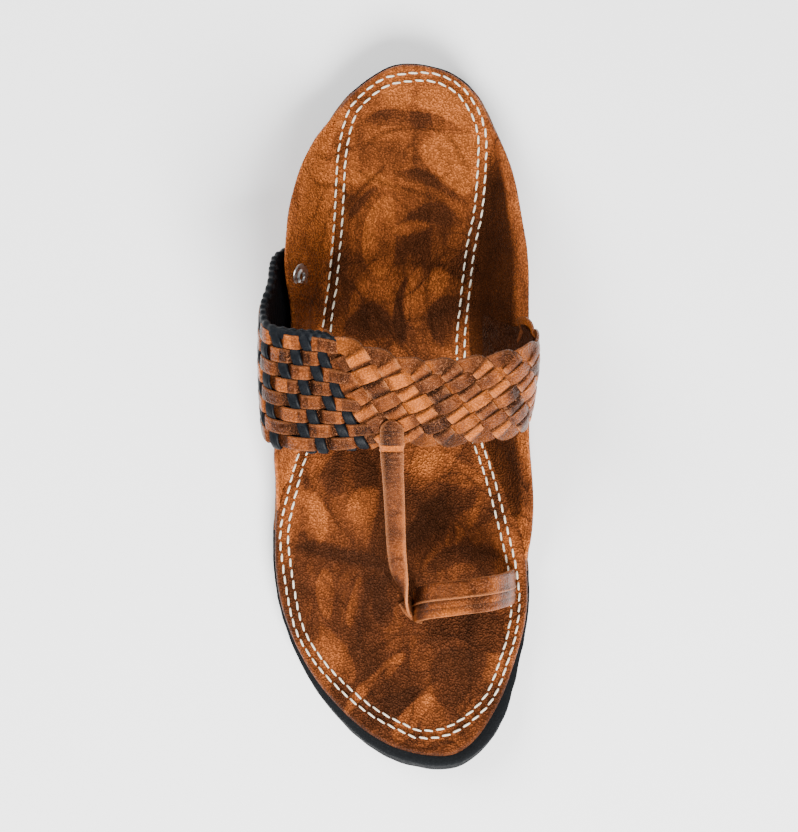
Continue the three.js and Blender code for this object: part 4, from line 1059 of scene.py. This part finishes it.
def woven_ribbon(parts, a, b, out, wide, thick, tint, deep, pale=0.5):
    """A strip lying on the band along (a, b), at a height out over its middle surface."""
    da, db = np.gradient(a), np.gradient(b)
    size = np.maximum(np.hypot(da, db), 1e-6)
    pa, pb = -db / size, da / size
    rows = []
    shade = []
    for (c, h), edge in zip(SECTION, CUT_EDGE):
        half_width = c * wide / 2
        rows.append(band_point(a + pa * half_width, b + pb * half_width, out + h * thick))
        # Green: cut edge, paler where pale is high (painted light on falling strips); blue: painted
        # shade.
        shade.append(np.stack([tint, edge * pale + 0 * a, deep], -1))
    parts.tube(rows, shade, flip=True)


WEAVE_MIDDLE = 0.45
WEAVE_LIFT = 0.8
STRIP_THICK = 1.15
MEDIAL_RIM = float(np.interp(16.4 / (len(BAND_ROWS) - 1), VS, ARC))


def middle_out(a):
    """Height of the weave's middle layer: lower where the band lies inside the arch-side wall."""
    return WEAVE_MIDDLE - 0.5 * smoothstep((a - MEDIAL_RIM + 6) / 6)


def cord_index(a, b):
    share = 0.5 + b / band_width(a)
    rear = np.array([c[0] for c in CORDS])
    front = np.array([c[1] for c in CORDS])
    result = np.empty_like(a)
    for k in range(len(a)):
        places = mix(rear, front, share[k])
        result[k] = np.interp(a[k], places, np.arange(len(CORDS)))
    return result


def edge_arc(across, edge):
    """Length along the band at which one of its edges is so far across, on its upper side."""
    x = MIDDLE[:, edge, 0] - SHIFT[0]
    start = int(np.argmin(x))
    return float(np.interp(across, x[start:], ARC[start:]))


CORDS = [(edge_arc(rear, 0), edge_arc(front, RUNNERS)) for rear, front in CORDS_SEEN]
for _ in range(CORDS_BELOW):
    CORDS.insert(0, (CORDS[0][0] - CORD_STEP[0], CORDS[0][1] - CORD_STEP[1]))
CORDS = [cord for cord in CORDS if min(cord) > 2.5]
ZONE_REAR = edge_arc(ZONE_EDGE[0], 0)
ZONE_FRONT = edge_arc(ZONE_EDGE[1], RUNNERS)
ZONE_START = 0.5 * (ZONE_REAR + ZONE_FRONT)
ZONE_SLANT = (ZONE_FRONT - ZONE_REAR) / float(np.interp(ZONE_START, ARC, WIDTHS))
# The cord nearest the arch covers the strips of even rows
FIRST_ROW_OVER = (len(CORDS) + 1) % 2


def zone_edge(b):
    return ZONE_START + ZONE_SLANT * b


STRIP_COUNT = 8


def make_checker(parts):
    for row in range(STRIP_COUNT):
        a = np.arange(0.6, ZONE_START + 24, 0.5)
        pitch = band_width(a) / STRIP_COUNT
        b = (row + 0.5 - STRIP_COUNT / 2) * pitch
        keep = a < zone_edge(b) + 4.5
        a, b, pitch = a[keep], b[keep], pitch[keep]
        phase = np.cos(math.pi * (cord_index(a, b) + row + FIRST_ROW_OVER))
        level = np.clip(1.5 * phase + 0.35, -1, 1)
        level = level * (1.5 - 0.5 * level**2)
        tuck = smoothstep((a - zone_edge(b) - 1.0) / 3.5)
        out = middle_out(a) + WEAVE_LIFT * level - 1.3 * tuck
        cell = np.floor((cord_index(a, b) + row) / 2)
        tint = 0.3 + 0.32 * np.sin(cell * 2.4 + row * 1.7) + 0.2 * np.sin(cell * 5.1 + row * 4.3)
        tint = np.clip(tint, 0, 1)
        # Painted shade where a strip dips under a cord.
        deep = smoothstep((0.5 - level) / 0.9)
        woven_ribbon(parts, a, b, out, pitch - 0.45, STRIP_THICK, tint, deep)


BRAID_PITCH = 11.3
LOWEST_STRIP = -0.3
START_TUCK = 1.2
END_TUCK = 0.4
RISE = math.tan(math.radians(29))
FALL = math.tan(math.radians(51))
STEP_A = np.array([BRAID_PITCH * RISE / (RISE + FALL), BRAID_PITCH * RISE * FALL / (RISE + FALL)])
STEP_B = np.array([BRAID_PITCH * FALL / (RISE + FALL), -BRAID_PITCH * RISE * FALL / (RISE + FALL)])
BRAID_HALF = 4 * STEP_A[1]
BRAID_ORIGIN = ZONE_START + 2.0


def blur(values, reach):
    kernel = np.exp(-0.5 * (np.arange(-3 * reach, 3 * reach + 1) / reach) ** 2)
    kernel /= kernel.sum()
    padded = np.concatenate([np.full(3 * reach, values[0]), values, np.full(3 * reach, values[-1])])
    slope0, slope1 = values[1] - values[0], values[-1] - values[-2]
    padded[: 3 * reach] -= slope0 * np.arange(3 * reach, 0, -1)
    padded[-3 * reach:] += slope1 * np.arange(1, 3 * reach + 1)
    return np.convolve(padded, kernel, "valid")


def braid_path(strand):
    """Zigzag of one strand: place, height sign and which leg, at about every half millimetre."""
    corners = []
    for m in range(-3, 4):
        i = strand + 8 * m
        corners.append((i, i + 4, "rear"))
        corners.append((i + 8, i + 4, "front"))
    a, b, sign, falling = [], [], [], []
    for (i0, j0, kind), (i1, j1, _) in zip(corners, corners[1:]):
        p = i0 * STEP_A + j0 * STEP_B
        q = i1 * STEP_A + j1 * STEP_B
        steps = int(np.linalg.norm(q - p) / 0.5)
        s = np.arange(steps) / steps
        across = 8 * s - 4
        end = smoothstep((np.abs(across) - 3.05) / 0.95)
        wave = np.cos(math.pi * across)
        if kind == "rear":
            wave = -wave
        a.append(mix(p[0], q[0], s))
        b.append(mix(p[1], q[1], s))
        sign.append(mix(wave, 0.0, end))
        falling.append(np.full(steps, 1.0 if kind == "rear" else 0.0))
    a, b, sign, falling = (np.concatenate(x) for x in (a, b, sign, falling))
    return blur(a, 4), blur(b, 4), blur(sign, 2), blur(falling, 6)


def make_braid(parts):
    for strand in range(8):
        a, b, sign, falling = braid_path(strand)
        a = a + BRAID_ORIGIN
        inside = (a > 0) & (a < BAND_LENGTH - 0.6)
        a, b, sign, falling = (x[inside] for x in (a, b, sign, falling))
        b = b * (band_width(a) / 2 - 0.6) / (BRAID_HALF - 1.6)
        limit = band_width(a) / 2 - 3.4
        past = np.maximum(np.abs(b) - limit, 0)
        b = np.sign(b) * (np.minimum(np.abs(b), limit) + 2.6 * np.tanh(past / 2.6))
        keep = (a > zone_edge(b) - 2.0) & (a < MEDIAL_RIM + 0.3)
        edges = np.flatnonzero(np.diff(keep.astype(int)))
        pieces = np.split(np.arange(len(a)), edges + 1)
        for piece in pieces:
            if len(piece) < 8 or not keep[piece[0]]:
                continue
            aa, bb, sg, fl = a[piece], b[piece], sign[piece], falling[piece]
            level = np.clip(1.35 * sg, -1, 1)
            start = 1 - smoothstep((aa - zone_edge(bb)) / 3.0)
            finish = smoothstep((aa - MEDIAL_RIM + 3.0) / 3.0)
            out = np.maximum(middle_out(aa) + WEAVE_LIFT * level, LOWEST_STRIP)
            out = out - START_TUCK * start - END_TUCK * finish
            wide = mix(5.5, 8.0, fl) * np.clip(band_width(aa) / 34.6, 0.7, 1.1)
            cell = np.floor(np.arange(len(aa)) / 36)
            tint = 0.55 + 0.34 * np.sin(strand * 2.9 + cell * 1.9)
            tint = tint + 0.2 * np.sin(strand * 5.3 + cell * 3.1)
            # Painted shade where a strip runs under its neighbours, darker on falling strips.
            deep = smoothstep((0.97 - level) / 0.5) * mix(0.45, 1.0, fl)
            # Falling strips get paler cut edges: raw-edge colour plus painted light on the edges that
            # catch it.
            woven_ribbon(parts, aa, bb, out, wide, STRIP_THICK, np.clip(blur(tint, 3), 0, 1), deep,
                         mix(0.3, 1.0, fl))


def frame_ribbon(parts, centre, wide_dir, wide, thick, ribs=0):
    """A flat cord through points in space, with its width along wide_dir."""
    tangent = unit(np.gradient(centre, axis=0))
    side = square_to(tangent, wide_dir)
    up = np.cross(tangent, side)
    rows = []
    for angle in circle(20):
        c, s = math.cos(angle), math.sin(angle)
        x = math.copysign(abs(c) ** 0.55, c) * wide / 2
        y = math.copysign(abs(s) ** 0.7, s) * thick / 2
        if ribs:
            y *= 1 + 0.28 * math.cos(ribs * math.pi * math.copysign(abs(c) ** 0.55, c))
        rows.append(centre + side * np.reshape(x, (-1, 1)) + up * np.reshape(y, (-1, 1)))
    parts.add(np.stack(rows, 1), close_cols=True, cap=True)


CORD_WIDTH = 4.0
CORD_THICK = 1.3
BINDING_WIDTH = 4.4
BINDING_THICK = 2.7


def make_cords():
    parts = Parts()
    for k, (rear, front) in enumerate(CORDS):
        share = np.linspace(0, 1, 90)
        a = mix(rear, front, share)
        width = band_width(a)
        b = (share - 0.5) * width
        row = share * STRIP_COUNT - 0.5
        phase = np.cos(math.pi * (k + row + FIRST_ROW_OVER))
        level = np.clip(1.4 * phase, -1, 1)
        level = -level * (1.5 - 0.5 * level**2)
        out = WEAVE_MIDDLE + WEAVE_LIFT * level
        turn = np.linspace(0, math.pi, 10)
        rear_a, rear_b = np.full(10, a[0]), b[0] - 1.0 * np.sin(turn[::-1]) + 0.4
        front_b = b[-1] + 1.0 * np.sin(turn) - 0.2
        front_out = -0.3 + (out[-1] + 0.3) * np.cos(turn)
        all_a = np.concatenate([rear_a, a, np.full(10, a[-1])])
        all_b = np.concatenate([rear_b, b, front_b])
        all_out = np.concatenate([mix(-1.2, out[0], (1 - np.cos(turn)) / 2), out, front_out])
        keep = all_a < zone_edge(all_b) + 2.5
        if keep.sum() < 12:
            continue
        all_a, all_b, all_out = blur(all_a[keep], 1), blur(all_b[keep], 2), blur(all_out[keep], 2)
        centre = band_point(all_a, all_b, all_out)
        wide_dir = band_step(all_a, all_b, all_out, 0.5, 0)
        frame_ribbon(parts, centre, wide_dir, CORD_WIDTH, CORD_THICK, 3)
    # Binding along the rear edge of the outer side
    a = np.arange(0.6, ZONE_START - 4, 0.35)
    b = -0.5 * band_width(a) + 0.3
    swell = 1 + 0.1 * np.sin(2 * math.pi * a / 3.6 + 1.5 * np.sin(a / 4.3))
    centre = band_point(a, b, 0.1 + 0 * a)
    wide_dir = band_step(a, b, 0.1 + 0 * a, 0, 0.5)
    taper = smoothstep((ZONE_START - 4 - a) / 8)
    wide = BINDING_WIDTH * swell * mix(0.4, 1, taper)
    thick = BINDING_THICK * swell * mix(0.6, 1, taper)
    frame_ribbon(parts, centre, wide_dir, wide, thick)
    parts.build("band_cords", CORD, 60)


def make_lining():
    """Inner face of the band: cords side by side on the outer half, strips' backs on the arch half."""
    for name, start, end, material, ribs in (
        ("band_inner_cords", 0.4, ZONE_START + 6, CORD, 2.8),
        ("band_inner_strips", ZONE_START + 4, MEDIAL_RIM - 10, STRAP_LEATHER, 0),
        ("band_inner_end", MEDIAL_RIM - 11, BAND_LENGTH - 0.4, STRAP_LEATHER, 0),
    ):
        a = np.arange(start, end, 0.4)
        parts = Parts()
        rows, shade = [], []
        half_width = 0.5 * band_width(a) - 0.6
        for c in np.linspace(-1, 1, 41):
            b = c * half_width
            if ribs:
                out = -0.95 - 0.28 * np.abs(np.sin(math.pi * (a - 0.35 * b) / ribs))
            else:
                i, j = (a - b) / BRAID_PITCH, (a + b) / BRAID_PITCH
                out = -0.95 - 0.2 * np.abs(np.sin(math.pi * i)) * np.abs(np.sin(math.pi * j))
            rows.append(band_point(a, b, out))
            # Painted shade on the band's inner face, darkest at the end inside the arch-side wall.
            dark = 0.85 if name == "band_inner_end" else 0.35
            shade.append(np.stack([0.2 + 0 * a, 0 * a, dark + 0 * a], -1))
        parts.add(np.stack(rows, 1), np.stack(shade, 1))
        rows = [band_point(a, c * half_width, -0.55 + 0 * a) for c in np.linspace(-1, 1, 21)]
        # A darkened sheet under the strips: painted shade seen through the gaps.
        parts.add(np.stack(rows, 1), np.array([0.1, 0, 0.9]), flip=True)
        parts.build(name, material, 60)


def make_band():
    parts = Parts()
    make_checker(parts)
    make_braid(parts)
    obj = parts.build("band_strips", STRAP_LEATHER, 45)
    make_cords()
    make_lining()
    return obj


# Thong and toe ring


def crossing():
    x = MIDDLE[:, -1, 0] - SHIFT[0]
    return float(ARC[np.argmin(np.abs(x - THONG_ACROSS * BALL_WIDTH))])


def thong_point(row):
    return plumb(row[0] * BALL_WIDTH, row[2] * LENGTH, row[1] * BAND_RISE)


def strap(parts, points, widths, turns, thick, steps, tints, deep=0.0, round_start=False):
    t = np.linspace(0, 1, steps)
    centre = open_curve(points, t)
    run = run_along(centre)
    place = np.linspace(0, 1, len(points))
    wide = THONG_WIDTH * np.interp(t, place, widths)
    if round_start:
        r = wide[20] / 2
        wide = np.where(run < r, 2 * np.sqrt(np.maximum(r**2 - (r - run) ** 2, 0.02)), wide)
    turn = math.pi / 2 * np.interp(t, place, turns)
    turn = blur(turn, 4)
    side = np.stack([np.cos(turn), -np.sin(turn), 0 * turn], -1)
    tangent = unit(np.gradient(centre, axis=0))
    side = square_to(tangent, side)
    up = np.cross(tangent, side)
    rows, shade = [], []
    wave = 0.12 * wobble(centre, 12, 9) + 0.06 * np.sin(3.3 * run + 2.5 * wobble(centre, 9, 2))
    tint = np.interp(t, np.linspace(0, 1, len(tints)), tints) - 0.1
    for (c, h), edge in zip(SECTION, CUT_EDGE):
        rows.append(centre + side * (c * wide / 2)[:, None] + up * (h * thick + wave)[:, None])
        # Painted light: the strap's side at c = +1 is lighter than the other.
        across = tint + 0.22 * c + 0.12 * wobble(centre, 14, 4)
        shade.append(np.stack([across, edge + 0 * t, deep + 0 * t], -1))
    parts.tube(rows, shade)


def make_thong():
    a = crossing()
    top = BAND_THICK / 2 + 0.9 + THONG_THICK / 2
    width = float(band_width(a))

    def on_band(back, out):
        return band_point(a, (0.5 - back) * width, out)

    parts = Parts()
    tab = [on_band(0.3, top - 0.15), on_band(0.22, top + 0.2), on_band(0.12, top + 0.25),
           on_band(0.03, top + 0.1), on_band(-0.005, top - 0.25)]
    strap(parts, tab, [1.12, 1.12, 1.14, 1.12, 1.1], [0] * 5, 1.4, 90, [0.2], 0.25, True)
    fold = [on_band(0.05, 1.6), on_band(-0.01, 2.0), on_band(-0.07, 1.5), on_band(-0.1, 0.2)]
    strap(parts, fold, [1.08, 1.22, 1.08, 1.16], [0] * 4, 1.3, 60, [1.0])
    front = [on_band(0.02, -0.2), on_band(-0.05, -0.5)]
    back = [on_band(0.18, -(BAND_THICK + THONG_THICK) / 2 + CLEARANCE)]
    for rows, start, wide, steps, tints in (
        (THONG_FRONT, front, 1.05, 220, [0.2, 0.15, 0.25, 0.5, 0.55, 0.25, 0.3, 0.5]),
        (THONG_BACK, back, 0.98, 120, [0.15]),
    ):
        points = start + [thong_point(row) for row in rows]
        widths = [wide] * len(start) + [row[3] for row in rows]
        turns = [0] * len(start) + [row[4] for row in rows]
        strap(parts, points, widths, turns, THONG_THICK, steps, tints)
    footbed_up = FOOTBED_THICK + CLEARANCE
    tip = [over(2.5, 213.5, footbed_up + 0.6), over(4.5, 217, footbed_up + 0.8),
           over(7.5, 219.6, footbed_up + 0.8), over(10.0, 220.6, footbed_up + 2.0)]
    strap(parts, tip, [0.6, 0.6, 0.62, 0.55], [-0.4, -0.5, -0.6, -0.7], 1.2, 40, [0.5])
    parts.build("thong", STRAP_LEATHER, 50)


RING_SECTION = [
    (-1.0, -0.4), (-1.0, 0.1), (-0.95, 0.36), (-0.8, 0.46), (-0.4, 0.47), (-0.1, 0.47),
    (-0.04, 0.6), (0.0, 0.64), (0.04, 0.6), (0.07, 0.42), (0.3, 0.46), (0.46, 0.5), (0.5, 0.42),
    (0.8, 0.44), (0.95, 0.34), (1.0, 0.1), (1.0, -0.4), (0.9, -0.5), (-0.9, -0.5),
]


def make_ring():
    sunk = FOOTBED_THICK + 4 * CLEARANCE - SLOT_DEPTH
    points = [over(r[0] * BALL_WIDTH, r[2] * LENGTH, mix(sunk, RING_RISE, r[1])) for r in RING_ROWS]
    t = np.linspace(0, 1, 160)
    centre = open_curve(points, t)
    pitch = float(profile(0.752 * LENGTH)[2])
    toe = np.array([0, -math.cos(pitch), math.sin(pitch)])
    tangent = unit(np.gradient(centre, axis=0))
    side = square_to(tangent, toe)
    up = np.cross(side, tangent)
    rows, shade = [], []
    wave = 0.15 * wobble(centre, 16, 6)
    for c, h in RING_SECTION:
        edge = 0.7 if abs(c) > 0.99 else 0.5 if abs(c) < 0.05 else 0.0
        wide = RING_WIDTH / 2 * c * (1 + 0.02 * wobble(centre, 20, 8))
        high = h * RING_THICK + wave * (1 - abs(c))
        rows.append(centre + side * wide[:, None] + up * high[:, None])
        tint = 0.48 + 0.3 * wobble(centre + side * (4 * c), 15, 12)
        # Painted shade in the two grooves beside the ridges.
        deep = 0.8 if c in (0.07, 0.5) else 0.0
        # Darker towards the ring's start.
        deep = np.maximum(deep, 0.5 * smoothstep((0.3 - t) / 0.15))
        shade.append(np.stack([tint, edge + 0 * t, deep], -1))
    parts = Parts()
    parts.tube(rows, shade)
    parts.build("toe_ring", STRAP_LEATHER, 50)


# Rivets


# Turned profiles: radius, height over the wall's outer face and over the stack's inner face
CAP_TURNED = [(0.05, 1.5), (2.4, 1.46), (3.9, 1.2), (4.6, 0.8), (4.95, 0.35), (4.8, 0.02), (1.4, 0)]
EYELET_TURNED = [
    (1.4, 0), (4.7, 0.1), (4.95, -0.05), (4.9, -0.35), (4.4, -0.55), (3.7, -0.5), (2.9, -0.55),
    (2.5, -0.9), (2.1, -1.1), (1.7, -1.0), (1.45, -0.6), (1.35, 0.9), (0.05, 1.2),
]
RIVET_UP = 18.5


def rivet(name, wall, at, up, cap, washer):
    u = np.array(at * LENGTH)
    p = wall_point(wall, u, up, 0.0)
    inner = wall_point(wall, u, up, WALL)
    out = unit(p - inner)
    side = unit(np.cross(out, [0, 0, 1.0]))
    other_side = np.cross(out, side)
    turned = [(r, cap + CLEARANCE + z) for r, z in CAP_TURNED]
    turned += [(r, washer - CLEARANCE + z) for r, z in EYELET_TURNED]
    spokes = [side * math.cos(a) + other_side * math.sin(a) for a in circle(48)]
    grid = np.array([[p + out * z + spoke * r for spoke in spokes] for r, z in turned])
    parts = Parts()
    parts.add(grid, close_cols=True)
    obj = parts.build(name + "_metal", SILVER, 35)
    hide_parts(name)


def make_rivets():
    stack = BAND_THICK + WALL_GAP
    rivet("medial_rivet", "medial", 0.415, RIVET_UP, 0.0, -(WALL + stack))
    rivet("lateral_rivet", "lateral", 0.303, RIVET_UP, stack, -WALL)


make_outsole()
make_heel_lift()
make_footbed()
make_wall("medial", "medial_flank")
make_wall("lateral", "lateral_flank")
make_stitches()
band = make_band()
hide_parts("upper")
make_thong()
make_ring()
make_rivets()

# Floor, light and camera: millimetres on the sensor, metres in the room

SENSOR_HEIGHT = 24
LENS = 72
CAMERA_UP = 1.0
KEY_POWER = 95
FILL_POWER = 42
ROOM_LIGHT = 0.5


def plain_floor():
    mesh = bpy.data.meshes.new("floor")
    size = 3.0
    corners = [(-size, -size, 0), (size, -size, 0), (size, size, 0), (-size, size, 0)]
    mesh.from_pydata(corners, [], [(0, 1, 2, 3)])
    n = Nodes("floor")
    mesh.materials.append(n.finish((0.93, 0.93, 0.93), 0.9, None, Specular_IOR_Level=0.1))
    obj = put_in_scene("floor", mesh, (0, 0, -0.0005))


def area_light(name, place, size, power):
    data = bpy.data.lights.new(name, "AREA")
    data.size = size
    data.energy = power
    obj = put_in_scene(name, data, place)
    obj.rotation_euler = Vector(-np.array(place)).to_track_quat("-Z", "Y").to_euler()


plain_floor()
area_light("key", (0.35, -1.1, 1.15), 0.8, KEY_POWER)
area_light("fill", (-1.0, 0.6, 1.3), 1.1, FILL_POWER)
world = bpy.data.worlds.new("studio")
bpy.context.scene.world = world
world.use_nodes = True
world.node_tree.nodes["Background"].inputs["Color"].default_value = (1, 1, 1, 1)
world.node_tree.nodes["Background"].inputs["Strength"].default_value = ROOM_LIGHT

camera_data = bpy.data.cameras.new("camera")
camera_data.sensor_fit = "VERTICAL"
camera_data.sensor_height = SENSOR_HEIGHT
camera_data.lens = LENS
bpy.context.scene.camera = put_in_scene("camera", camera_data, (0, 0, CAMERA_UP))
